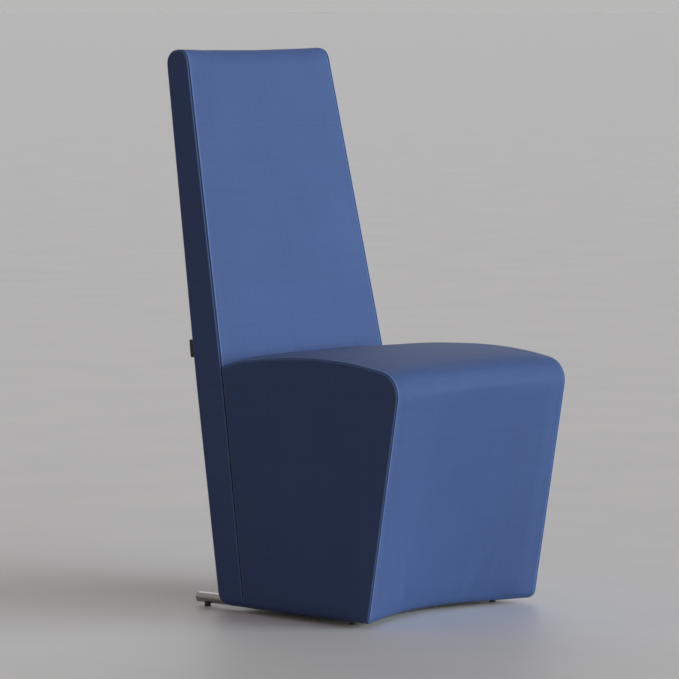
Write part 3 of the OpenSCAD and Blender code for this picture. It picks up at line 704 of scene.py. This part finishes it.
# %% Node groups for metal and wood
TUBE_SCRATCH = (900.0, 14.0, 900.0)  # the noise is stretched along one axis
ALONG_Z, ALONG_X = (60.0, 60.0, 4.0), (4.0, 60.0, 60.0)
metal, enter, leave = new_group("Drawn metal", [("Scratch", "Vector", TUBE_SCRATCH)], ["Scratches", "Smudges"])
drawn = times(metal, enter["Vector"], enter["Scratch"])
feed(metal, leave, Scratches=noise_of(metal, drawn, 1.0, 3.0), Smudges=noise_of(metal, enter["Vector"], 45.0))

grain, enter, leave = new_group("Wood grain", [("Stretch", "Vector", ALONG_Z)], ["Fibres", "Rings"])
run = times(grain, enter["Vector"], enter["Stretch"])
rings = add(grain, "TexWave", run, bands_direction="DIAGONAL")
feed(grain, rings, Scale=0.5, Distortion=4.0)
feed(grain, leave, Fibres=noise_of(grain, run, 9.0, 5.0), Rings=rings.outputs[1])
print("groups:", [tree.name for tree in bpy.data.node_groups])


# %% Metal finishes
def metal_material(name, colour, rough, scratch):
    material, tree, shader = new_material(name, Metallic=1.0)
    group_effects = use_group(tree, metal, Vector=object_place(tree), Scratch=scratch)
    base = maths(tree, "MULTIPLY_ADD", group_effects["Scratches"], 0.22, rough - 0.11)
    colours = tint(colour, 0.86), tint(colour, 1.12)
    paint(tree, shader, group_effects["Smudges"], colours, (group_effects["Smudges"], 0.12, base), (group_effects["Scratches"], 0.4, 0.00002))
    return material


brushed_steel = metal_material("brushed_steel", (0.35, 0.345, 0.335), 0.20, TUBE_SCRATCH)
satin_steel = metal_material("satin_steel", (0.33, 0.325, 0.315), 0.30, (500.0, 500.0, 500.0))
zinc = metal_material("zinc_plate", (0.60, 0.61, 0.63), 0.36, (260.0, 260.0, 260.0))


# %% Nylon, foam and thin cloth
def grained_material(name, dark, light, rough, size, height):
    """A plain material with fine grain: nylon, foam, felt."""
    material, tree, shader = new_material(name)
    spots = noise_of(tree, object_place(tree), size, 4.0)
    paint(tree, shader, spots, (dark, light), (spots, 0.2, rough - 0.1), (spots, 0.5, height))
    return material


black_nylon = grained_material("black_nylon", (0.012, 0.012, 0.013), (0.03, 0.03, 0.031), 0.5, 700.0, 0.00006)
non_woven = grained_material("non_woven_cloth", (0.014, 0.014, 0.015), (0.035, 0.035, 0.036), 0.9, 420.0, 0.0002)
cut_foam = grained_material("cut_foam", (0.60, 0.54, 0.36), (0.76, 0.71, 0.52), 0.9, 500.0, 0.0004)


# %% Wood for the frame
def wood_material(name, early, late, stretch):
    material, tree, shader = new_material(name, Roughness=0.6)
    lines = use_group(tree, grain, Vector=object_place(tree), Stretch=stretch)
    share = maths(tree, "MULTIPLY_ADD", lines["Rings"], 0.45, maths(tree, "MULTIPLY", lines["Fibres"], 0.5))
    paint(tree, shader, share, (early, late), None, (lines["Fibres"], 0.4, 0.0002))
    return material


BEECH, BEECH_LATE = (0.62, 0.42, 0.25), (0.40, 0.24, 0.13)
beech_upright = wood_material("beech_upright", BEECH, BEECH_LATE, ALONG_Z)
beech_lying = wood_material("beech_lying", BEECH, BEECH_LATE, ALONG_X)
birch_ply = wood_material("birch_plywood", (0.70, 0.54, 0.34), (0.50, 0.35, 0.20), (6.0, 40.0, 40.0))
stained_beech = wood_material("black_stained_beech", (0.030, 0.027, 0.025), (0.016, 0.014, 0.013), ALONG_X)

# %% [markdown]
# ## Webbing and ribbon
# The webbing is woven much coarser than the cover and the ribbon much finer. They use the same weave group
# with a thread size of their own, so they need only other colours and another sheen.

# %% Webbing and ribbon
def band_material(name, dark, light, thread, rough):
    material, tree, shader = new_material(name, Sheen_Weight=0.15, Sheen_Roughness=0.4)
    threads = use_group(tree, weave, Vector=tree.nodes.new("ShaderNodeUVMap").outputs[0], Thread=thread)
    height = threads["Height"]
    paint(tree, shader, threads["Tone"], (dark, light), (height, -0.15, rough), (height, 0.6, thread * 0.25))
    return material


black_webbing = band_material("black_webbing", (0.014, 0.014, 0.014), (0.04, 0.036, 0.032), 0.0022, 0.8)
black_ribbon = band_material("black_ribbon", (0.010, 0.010, 0.012), (0.022, 0.022, 0.025), 0.0005, 0.55)
print("materials:", len(bpy.data.materials))

# %% [markdown]
# ## The seat's wrap-round panel
# The largest panel goes up the front, over the round edge and back over the top. Its grid runs from seam to
# seam, and from the hem at the floor to the tuck at the back.

# %% Seat front and top
def across_seam(half, pitch=10.0):
    return (2 * spaced(2 * half, pitch) - 1) * half


def evenly(stretch, count, first=0.0, last=1.0):
    return [(stretch, t) for t in np.linspace(first, last, count)]


def with_x(x, side_view):
    return np.concatenate([x[..., None], side_view], 2)


def above_hem(height, least):
    return lambda z: np.clip((z - SKIRT_H) / height, least, 1)


HEM_ROWS = np.array([0, 0.4, 1, 2, 3.2, 5, 7.5, 10]) / 12
marks = [(0, t) for t in HEM_ROWS]
marks += evenly(1, 11)[:-1] + evenly(2, 42)[:-1] + evenly(3, 13)[:-1] + evenly(4, 33)[:-1]
marks += [(5, t) for t in spaced(80, 8, False, True)]
xs = across_seam(SEAM)
side_view = seat_points(xs, marks)
turned_in = np.maximum(EDGE_R, roll(side_view[..., 1] - SKIRT_H, HEM_R))
width = (CHAIR_W / 2 - turned_in) / SEAM * narrowing(side_view[..., 0])
points = with_x(xs[:, None] * width, side_view)
wrapped = wrap("seat_front_and_top", points, edge_distance(points), (0, 200, 250))
seat_wrap = upholster(wrapped, 2.4, 20, above_hem(16, 0.1), "main_fabric", "seat_cover", "seat_foam", "front_foam")

# %% [markdown]
# ## Flat panels with four curved sides
# A side panel is flat, but its outline has straight and round stretches. A grid fits such an outline when each
# point is blended from the four sides, a Coons patch. The panel then turns over its edge: a quarter circle of
# 2 to 3 mm into the seam, inside a low crown of 30 mm, or one of 15 mm at the hem. How far a point has turned
# depends only on its distance to the outline.

# %% Fill an outline with a grid
CROWNED = 30  # mm from the seam at which the low crown ends


def coons(bottom, top, left, right, s, t):
    b, u, l, r = at_shares(bottom, s), at_shares(top, s), at_shares(left, t), at_shares(right, t)
    s, t = s[:, None, None], t[None, :, None]
    sides = (1 - t) * b[:, None] + t * u[:, None] + (1 - s) * l[None] + s * r[None]
    ends = (1 - s) * (1 - t) * b[0] + s * (1 - t) * b[-1] + (1 - s) * t * u[0] + s * t * u[-1]
    return sides - ends


def to_line(points, line):
    """Distance from each point of a grid to a line of points, and the way to the line."""
    flat = points.reshape(-1, 1, 2)
    a, d = line[:-1][None], np.diff(line, axis=0)[None]
    t = np.clip(((flat - a) * d).sum(2) / np.maximum((d * d).sum(2), 1e-12), 0, 1)
    way = a + t[..., None] * d - flat
    length = np.linalg.norm(way, axis=2)
    best = length.argmin(1)
    rows = np.arange(len(best))
    return length[rows, best].reshape(points.shape[:2]), way[rows, best].reshape(points.shape)


def rounded(points, lines, radii, crowned):
    """Near the outline: drop, way travelled over the edge, and how far and where the surface leans."""
    shape = points.shape[:2]
    drop, seam, turn, way = np.zeros(shape), np.full(shape, 1e4), np.zeros(shape), np.zeros((*shape, 2))
    for line, r in zip(lines, radii):
        distance, toward = to_line(points, line)
        d = np.clip(distance, 0, r)
        this_drop = r - np.sqrt(r * r - (r - d) ** 2)
        more = this_drop > drop
        drop = np.where(more, this_drop, drop)
        turn = np.where(more, (r - d) / r, turn)
        way = np.where(more[..., None], toward / np.maximum(distance, 1e-3)[..., None], way)
        seam = np.minimum(seam, r * np.arccos(1 - d / r) + np.maximum(distance - r, 0))
    for border, inner in ((0, 1), (-1, -2)):
        way[border], way[:, border] = way[inner], way[:, inner]
    return drop + crowned * np.clip(1 - seam / CROWNED, 0, 1) ** 2, seam, turn, way


def panel_normals(side, turn, way, slant=0.0):
    """The side's own normal, turned towards the outline."""
    flat = np.sqrt(1 - turn**2)
    n = np.stack([side * flat, way[..., 0] * turn, way[..., 1] * turn + slant * flat], 2)
    return n / np.linalg.norm(n, axis=2, keepdims=True)


def turn_rows(r):
    """Distances with even steps of a rounded edge's angle, then wider and wider."""
    way = np.array([0, 0.4, 1, 1.8, 2.8, 4, 5.2]) * r / EDGE_R
    return np.concatenate([r * (1 - np.cos(way / r)), r + np.array([0, 2, 5, 9, 14, 20])])


def side_shares(length, pitch, first_r=EDGE_R, last_r=EDGE_R):
    return filled(turn_rows(first_r), turn_rows(last_r), length, pitch)


def side_pair(chair_part, kind, flat, half, rounding, cap, foam, least, slant=0.0):
    """A flat panel on each side, with its distance from the middle of the chair and how it is rounded."""
    _, travelled, turn, way = rounding
    for name, side in (("left", -1), ("right", 1)):
        normals = panel_normals(side, turn, way, slant)
        points = with_x(side * half, flat)
        wrapped = wrap(f"{chair_part}_{name}_{kind}", points, travelled, normals=normals, pattern=flat)
        hidden = f"{name}_{kind}_cover", f"{name}_{kind}_pad"
        panel = upholster(wrapped, cap, foam, above_hem(14, least), "side_fabric", *hidden)


print("rows over an edge:", len(turn_rows(EDGE_R)))

# %% [markdown]
# ## The seat's side panels
# The outline is the seam of the wrap-round panel, the line of the back and the hem. Where the panel meets
# the back it turns in steeply, because both are pressed together there.

# %% Seat sides
SIDE_DEEP, SIDE_HIGH, EDGE_WIDE, EDGE_TALL = 360, 470, 66, 1075  # the flat panels in mm, for even rows
edge_marks = evenly(3, 25)
front_marks = evenly(1, 9) + evenly(2, 12, 0.05, 0.95) + edge_marks[:12]
top_marks = edge_marks[12:] + evenly(4, 60, 0.03) + evenly(5, 16, 0.1)
seam_line = seat_points([SEAM], front_marks + top_marks)[0]
side_left, side_top = seam_line[: len(front_marks) + 1], seam_line[len(front_marks):]
side_right = column(lambda z: back_front(z) - LAY_GAP, SKIRT_H, SEAT_REAR_H)
side_bottom = np.array([seam_line[0], side_right[0]])
deep, high = side_shares(SIDE_DEEP, 10, SEAT_TURN, TUCK_TURN), side_shares(SIDE_HIGH, 10, HEM_R, SEAT_TURN)
flat = coons(side_bottom, side_top, side_left, side_right, deep, high)
outline, radii = (side_top, side_left, side_right, side_bottom), (SEAT_TURN, SEAT_TURN, TUCK_TURN, HEM_R)
rounding = rounded(flat, outline, radii, 2.4)
half = (CHAIR_W / 2 - rounding[0]) * narrowing(flat[..., 0])
side_pair("seat", "side", flat, half, rounding, 2.0, 10, 0.2)

# %% [markdown]
# ## The back's front panel
# It comes up behind the seat, runs to the top, turns over it and ends a little way down the rear. Its front
# is crowned a few millimetres, and the top edge sags between its corners, as tight cloth does.

# %% Back front and top
TUCK_Z = 433.6  # where the panel starts, hidden behind the seat
TOP_Z = CHAIR_H - TOP_REAR_R - TOP_FRONT_R + 2  # where the front's crown ends
WRAP_Z = TOP_Z - EDGE_R


def crown(u, z, low, high):
    across = 1 - np.abs(u) ** 4
    share = fade_in(z, low, high - low)
    return BACK_CROWN * across * (1 - np.abs(2 * share - 1) ** 4) * (share > 0)


front_path = np.concatenate([column(back_front, TUCK_Z, ARC_FRONT[0][1] - 2), ARC_FRONT])
whole_path = np.concatenate([front_path, ARC_REAR, column(back_rear, ARC_REAR[-1][1] - 2, WRAP_Z, 2)])
length = steps_of(whole_path)[-1]
front_share = steps_of(front_path)[-1] / length
before_arc = 0.975 * front_share  # the rows get closer from here on, over the top
shares = np.concatenate([
    before_arc * spaced(front_share * length, 10, True, False),
    np.linspace(before_arc, 1, 44)[1:-6],
    1 - BORDER[::-1][5:] / length,
])
shares = np.unique(np.round(shares, 6))
path = at_shares(whole_path, shares)
us = across_seam(SEAM) / SEAM
y, z = np.repeat(path.T[:, None], len(us), 1)
u = np.repeat(us[:, None], len(path), 1)
y = y - crown(u, z, SEAT_REAR_H + TAIL_CROWN, TOP_Z) * (shares < front_share)
z = z - TOP_SAG * (1 - u * u) * fade_in(z, TOP_Z, CHAIR_H - TOP_Z)
points = np.stack([u * (half_w(z) - EDGE_R), y, z], 2)
wrapped = wrap("back_front_and_top", points, edge_distance(points), (0, 530, 800))
back_wrap = upholster(wrapped, 2.4, 20, lambda z: np.clip(1 - (z - 980) / 50, 0.45, 1), "main_fabric",
                      "back_front_cover", "back_foam", "back_top_foam")

# %% [markdown]
# ## The back's rear panel
# It hangs from the seam behind the top edge down to the foot, where it is drawn under. The two tubes come out
# through it, so its hem rises in a small arch over each. The columns of the grid stand closer there, and the
# rows near the hem are drawn up to the arch.

# %% Back rear
ARCH_HALF, ARCH_H, ARCH_PULL, ARCH_REACH = 11.6, 19.5, 14.0, 90
rear_path = np.concatenate([column(back_rear, WRAP_Z - 0.6, ARC_FOOT[0][1] + 2), ARC_FOOT])
rear_length = steps_of(rear_path)[-1]
half_hole = np.array([0, 2.5, 5, 7.2, 8.9, 10.1, 10.8, 11.2, 11.5, 12.1, 13.4, 15])
near_tube = RUNNER_X + np.concatenate([-half_hole[:0:-1], half_hole])
coarse = across_seam(SEAM)
coarse = coarse[np.abs(np.abs(coarse) - RUNNER_X) > half_hole[-1] + 2]
xs = np.sort(np.concatenate([coarse, near_tube, -near_tube]))
from_tube = np.abs(np.abs(xs) - RUNNER_X)
arch = ARCH_H * np.sqrt(np.clip(1 - (from_tube / ARCH_HALF) ** 4, 0, 1))[:, None]
s = np.repeat((spaced(rear_length, 12) * rear_length)[None], len(xs), 0)
tail_share = fade_in(s, rear_length - ARCH_REACH, ARCH_REACH)
s = s - tail_share * (arch + ARCH_PULL * (arch / ARCH_H))
rear = at_shares(rear_path, (s / rear_length).ravel()).reshape(*s.shape, 2)
half = half_w(rear[..., 1]) - np.maximum(EDGE_R, roll(rear[..., 1] - SKIRT_H, HEM_R))
points = np.stack([xs[:, None] / SEAM * half, rear[..., 0], rear[..., 1]], 2)
wrapped = wrap("back_rear", points, edge_distance(points), (0, 500, 500))
back_rear_panel = upholster(wrapped, 1.8, 9, np.ones_like, "main_fabric", "back_rear_cover", "back_rear_foam")

# %% [markdown]
# ## The back's edge panels
# A long narrow panel closes each side of the slab, from the floor to the top. It turns over its edge like the
# seat's side, but it follows the slab where it narrows.

# %% Back edges
edge_left = np.concatenate([column(back_front, SKIRT_H, ARC_FRONT[0][1] - 2), ARC_FRONT[:8]])
edge_top = np.concatenate([ARC_FRONT[7:], ARC_REAR[:11]])
rear_line = column(back_rear, ARC_FOOT[0][1] + 2, ARC_REAR[-1][1] - 2)
edge_right = np.concatenate([ARC_FOOT[:11][::-1], rear_line, ARC_REAR[10:][::-1]])
edge_bottom = np.concatenate([[edge_left[0]], ARC_FOOT[10:][::-1]])
level = np.array([edge_left[0], [edge_right[0][0] + 60, SKIRT_H]])
tall = side_shares(EDGE_TALL, 12, HEM_R)
flat = coons(edge_bottom, edge_top, edge_left, edge_right, side_shares(EDGE_WIDE, 8), tall)
beside_seat = edge_left[edge_left[:, 1] < SEAT_REAR_H]
above_seat = edge_left[len(beside_seat) - 1:]
outline = (edge_top, edge_right, edge_bottom, above_seat, beside_seat, level)
rounding = rounded(flat, outline, (*[BACK_TURN] * 4, TUCK_TURN, HEM_R), 1.2)
slant = (half_w(BEND_H) - TOP_W / 2) / (CHAIR_H - BEND_H) * (flat[..., 1] > BEND_H)
side_pair("back", "edge", flat, half_w(flat[..., 1]) - rounding[0], rounding, 1.2, 9, 0.22, slant)

# %% [markdown]
# ## The runners
# Two steel tubes of 20 mm carry the chair. Their rear ends show behind the foot, so those get the work: a
# cylinder without ends, a wall by Solidify, and a small bevel that catches the light on the rims.

# %% Steel tubes
TUBE_WALL = 0.0015  # metres


def solid_cylinder(radius, start, end, vertices=64, fill="NGON"):
    start, end = Vector(start), Vector(end)
    let_go()
    turn = (end - start).to_track_quat("Z", "Y").to_euler()
    bpy.ops.mesh.primitive_cylinder_add(vertices=vertices, radius=radius, depth=(end - start).length,
                                        end_fill_type=fill, location=(start + end) / 2, rotation=turn)
    bpy.ops.object.transform_apply(location=True, rotation=True, scale=True)
    return bpy.context.object


def soften(thing, width, segments=2):
    bevel = thing.modifiers.new("rim", "BEVEL")
    bevel.width, bevel.segments, bevel.limit_method = width, segments, "ANGLE"
    bevel.angle_limit = math.radians(40)
    apply_all(thing)
    bpy.ops.object.shade_smooth_by_angle(angle=math.radians(35))


def join_as(name, things):
    pick(*things)
    bpy.ops.object.join()
    return named(things[0], name)


for name in ("left", "right"):
    low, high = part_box(f"{name}_runner_tube")
    x, z = (low.x + high.x) / 2, (low.z + high.z) / 2
    tube = solid_cylinder(TUBE_R / 1000, (x, low.y, z), (x, high.y, z), fill="NOTHING")
    wall = tube.modifiers.new("wall", "SOLIDIFY")
    wall.thickness, wall.offset = TUBE_WALL, -1
    soften(tube, 0.0004)
    dress(named(tube, f"{name}_tube"), brushed_steel, "runner_steel", f"{name}_runner_tube")

# %% [markdown]
# ## End caps and glides
# Each tube is closed by a cap with a neck inside the tube and a head as wide as the tube. Its face is drawn in
# a little, as a turned cap's is. The glides are short nylon studs with a worn edge.

# %% Caps on the tube ends
CAP_RIM, CAP_DISH, NECK_STEP, NECK_LENGTH = 0.0028, 0.0003, 0.0017, 0.007  # metres


def facing(thing, direction):
    """Go into edit mode with only the faces that look one way selected."""
    pick(thing)
    mode("EDIT")
    bpy.ops.mesh.select_mode(type="FACE")
    bpy.ops.mesh.select_all(action="DESELECT")
    mode("OBJECT")
    for face in thing.data.polygons:
        face.select = face.normal @ Vector(direction) > 0.99
    mode("EDIT")


def inset_and_extrude(thing, direction, thickness, way):
    """Inset the faces that look one way and extrude the inner ones."""
    facing(thing, direction)
    bpy.ops.mesh.inset(thickness=thickness)
    bpy.ops.mesh.extrude_region_move(TRANSFORM_OT_translate={"value": way})
    mode("OBJECT")


caps_low, caps_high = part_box("runner_end_plugs")
tube_low, tube_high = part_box("left_runner_tube")
caps = []
for x in (-RUNNER_X / 1000, RUNNER_X / 1000):
    for face_y, rim_y, way in ((caps_low.y, tube_low.y, -1), (caps_high.y, tube_high.y, 1)):
        cap = solid_cylinder(TUBE_R / 1000, (x, rim_y, RUNNER_Z / 1000), (x, face_y, RUNNER_Z / 1000))
        facing(cap, (0, way, 0))
        bpy.ops.mesh.inset(thickness=CAP_RIM)
        bpy.ops.transform.translate(value=(0, -way * CAP_DISH, 0))
        mode("OBJECT")
        inset_and_extrude(cap, (0, -way, 0), NECK_STEP, (0, -way * NECK_LENGTH, 0))
        soften(cap, 0.0005, 3)
        caps.append(cap)
dress(join_as("tube_end_caps", caps), satin_steel, "end_plug", "runner_end_plugs")

# %% Glides under the tubes
GLIDE_H = 0.0082  # metres, its top inside the tube's wall
for node in ("left_rear_glide", "right_rear_glide", "left_front_glide", "right_front_glide"):
    low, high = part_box(node)
    x, y = (low.x + high.x) / 2, (low.y + high.y) / 2
    glide = solid_cylinder((high.x - low.x) / 2, (x, y, 0), (x, y, GLIDE_H), 48)
    inset_and_extrude(glide, (0, 0, -1), 0.0016, (0, 0, 0.0005))
    soften(glide, 0.0006, 3)
    dress(named(glide, node.replace("glide", "foot")), black_nylon, "glide", node)

# %% [markdown]
# ## Webbing under the foam
# Elastic straps 50 mm wide carry the foam, five each way in the seat and seven across the back. They are flat
# and tight, so a grid with a little thickness is enough, and the same wrap gives them their threads.

# %% Straps
STRAP_W, NO_SEAM = 50, 1e4  # mm; a strap has no seam, so the nearest one is far away
OVER_STRAPS, BACK_STRAP_IN = 23.4, 11  # mm: depth of the straps in the back, and their ends' distance to its side
across_band = np.array([-25, -24, -20, -10, 0, 10, 20, 24, 25.0])


def strap(name, points, thickness=1.6):
    points = np.array(points, float)
    band = wrap(name, points, np.full(points.shape[:2], NO_SEAM), (0, 200, -2000))[0]
    thicken(band, thickness, 0)
    return band


def strap_centres(low, high, count):
    return np.linspace(1000 * low + STRAP_W / 2, 1000 * high - STRAP_W / 2, count)


def webbing(name, node, bands):
    straps = [strap("band", band) for band in bands]
    dress(join_as(name, straps), black_webbing, "webbing", node)


low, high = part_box("lengthwise_webbing")
ys, z = np.linspace(1000 * low.y, 1000 * high.y, 24) + SHIFT, 500 * (low.z + high.z)
bands = [[[(c + w, y, z) for y in ys] for w in across_band] for c in strap_centres(low.x, high.x, 5)]
webbing("seat_webbing_lengthwise", "lengthwise_webbing", bands)
low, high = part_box("crosswise_webbing")
bands, z = [], 500 * (low.z + high.z)
for c in strap_centres(low.y, high.y, 5) + SHIFT:
    half = 1000 * high.x * narrowing(c) / narrowing(1000 * low.y + SHIFT)
    bands.append([[(x, c + w, z) for x in np.linspace(-half, half, 24)] for w in across_band])
webbing("seat_webbing_crosswise", "crosswise_webbing", bands)
low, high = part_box("back_webbing")
us = np.linspace(-1, 1, 20)
bands = [[[(u * (half_w(z) - BACK_STRAP_IN), back_front(z) + OVER_STRAPS, z) for u in us]
          for z in c + across_band] for c in strap_centres(low.z, high.z, 7)]
webbing("back_webbing_straps", "back_webbing", bands)

# %% [markdown]
# ## The cloth under the seat
# A thin black cloth closes the underside between the tubes. It is stapled tight to the base board, with its
# front edge cut along the bowed front. A millimetre of slack is all that shows when the chair is tipped.

# %% Dust cloth
FRONT_EDGE_Z, FRONT_EDGE_IN, CUT_BACK = 12.3, 31.8, 4  # where the front board's rule is cut, in mm
SLACK, UNDER_BOARD = 0.9, 0.4
low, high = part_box("dust_cover")
xs = np.linspace(1000 * low.x, 1000 * high.x, 41)
v = np.linspace(0, 1, 31)
front = (FRONT_H + lift(xs) - FRONT_EDGE_Z) * lean(xs) + FRONT_EDGE_IN * np.sqrt(1 + lean(xs) ** 2) + CUT_BACK
rear = 1000 * high.y + SHIFT
deep = rear - front
ys = front[:, None] + deep[:, None] * v
across = (xs / xs[-1])[:, None]
zs = 1000 * high.z - UNDER_BOARD - SLACK * (1 - across**2) * (1 - (2 * v - 1) ** 2)
dust = strap("dust_cloth", np.stack([np.repeat(xs[:, None], len(v), 1), ys, zs], 2), 0.5)
dress(dust, non_woven, "dust_cloth", "dust_cover")

# %% [markdown]
# ## The tag
# A bare black ribbon is sewn into the seam at the back's left rear edge. It is folded once, so a strip is bent
# round a fold of 0.55 mm and gets the thickness of ribbon. It leans a little, as a loose ribbon does.

# %% Ribbon tag
FOLD_R, TAG_REACH, SEWN_IN, BESIDE_EDGE = 0.55, 7.2, 0.8, 3.2  # mm
low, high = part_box("blank_tag")
tag_z = np.linspace(1000 * low.z, 1000 * high.z, 16)
path = [(-FOLD_R, s) for s in np.linspace(0, TAG_REACH, 9)]
path += [(-FOLD_R * math.cos(a), TAG_REACH + FOLD_R * math.sin(a)) for a in np.linspace(0.4, math.pi - 0.4, 6)]
path += [(FOLD_R, s) for s in np.linspace(TAG_REACH, 0, 9)]
rows = []
for z in tag_z:
    leaning = 1 + 0.5 * math.sin((z - tag_z[0]) / 9.0)
    x, y = BESIDE_EDGE - half_w(z), back_rear(z) - SEWN_IN
    rows.append([(x + w - 0.02 * s * s * leaning, y + s, z) for w, s in path])
tag = strap("bare_ribbon", rows, 0.45)
dress(tag, black_ribbon, "tag", "blank_tag")

# %% [markdown]
# ## The frame inside
# The frame, the boards and the bolts keep their solids and get a finish by the record's material slot. Beech
# is upright in the stiles and lying in the rails, so two woods have grain that runs along the piece. The rail
# behind the tubes is stained black, as makers do where bare wood could show through holes in the cloth.

# %% Finishes for the frame
slots = {part["node"]: part["material_slot"] for part in frame["record"]["subparts"]}
finish = {"board": birch_ply, "fastener": zinc, "runner_steel": brushed_steel, "end_plug": satin_steel,
          "glide": black_nylon, "webbing": black_webbing, "dust_cloth": non_woven, "tag": black_ribbon,
          "main_fabric": cloth_blue, "side_fabric": cloth_blue, "foam": cut_foam}
for node, solid in nodes.items():
    upright = node.endswith("stile") or node.endswith("posts")
    material = finish.get(slots[node]) or (beech_upright if upright else beech_lying)
    material = stained_beech if node == "back_foot_rail" else material
    give(solid, material)
print("finished", len(nodes), "solids")

# %% [markdown]
# ## The floor and the light
# The floor is plain and pale. Four far lamps light the chair: two wide windows in front leave its left side in
# shade, a weak one overhead greys the seat's top, and one behind on the right stands for a pale wall. The
# room's own light is dim and warm, which balances the cool windows. The camera alone sees the floor and the
# room in pale colours, and those give the chair no light.

# %% Floor, light and view
WARM_FLOOR, PALE_FLOOR, PALER_FLOOR = (0.42, 0.31, 0.25), (0.838, 0.874, 0.913), (0.918, 0.957, 0.987)
WARM_ROOM, PALE_ROOM = (0.150, 0.110, 0.090), (0.484, 0.480, 0.478)
COOL, WHITE = (0.91, 0.98, 1.0), (1.0, 1.0, 1.0)
let_go()
bpy.ops.mesh.primitive_plane_add(size=600)
floor = bpy.context.object
floor.name = "floor"
floor_material, tree, shader = new_material("pale_floor", Roughness=0.55)
concrete = blend(tree, noise_of(tree, object_place(tree), 3.0), PALE_FLOOR, PALER_FLOOR)
feed(tree, shader, Base_Color=blend(tree, seen_rays(tree), WARM_FLOOR, concrete))
give(floor, floor_material)


def sun(name, toward, strength, width, colour):
    """A far lamp: toward points from the chair to the lamp, width is its angle in the sky in degrees."""
    data = bpy.data.lights.new(name, "SUN")
    data.energy, data.angle, data.color = strength, math.radians(width), colour
    add_object(name, data).rotation_euler = Vector(toward).to_track_quat("Z", "Y").to_euler()


sun("window", (0.52, -1.0, 0.05), 3.5, 50, COOL)
sun("window_left", (-0.08, -1.0, 0.05), 1.15, 50, COOL)
sun("ceiling", (0.05, -0.20, 1.0), 0.08, 60, WHITE)
sun("far_wall", (0.75, 0.70, 0.12), 0.6, 60, WHITE)
world = bpy.data.worlds.new("room")
world.use_nodes = True
tree = world.node_tree
feed(tree, tree.nodes["Background"], Color=blend(tree, seen_rays(tree), WARM_ROOM, PALE_ROOM))
bpy.context.scene.world = world
bpy.context.scene.view_settings.view_transform = "Standard"
print("lamps:", len(bpy.data.lights))
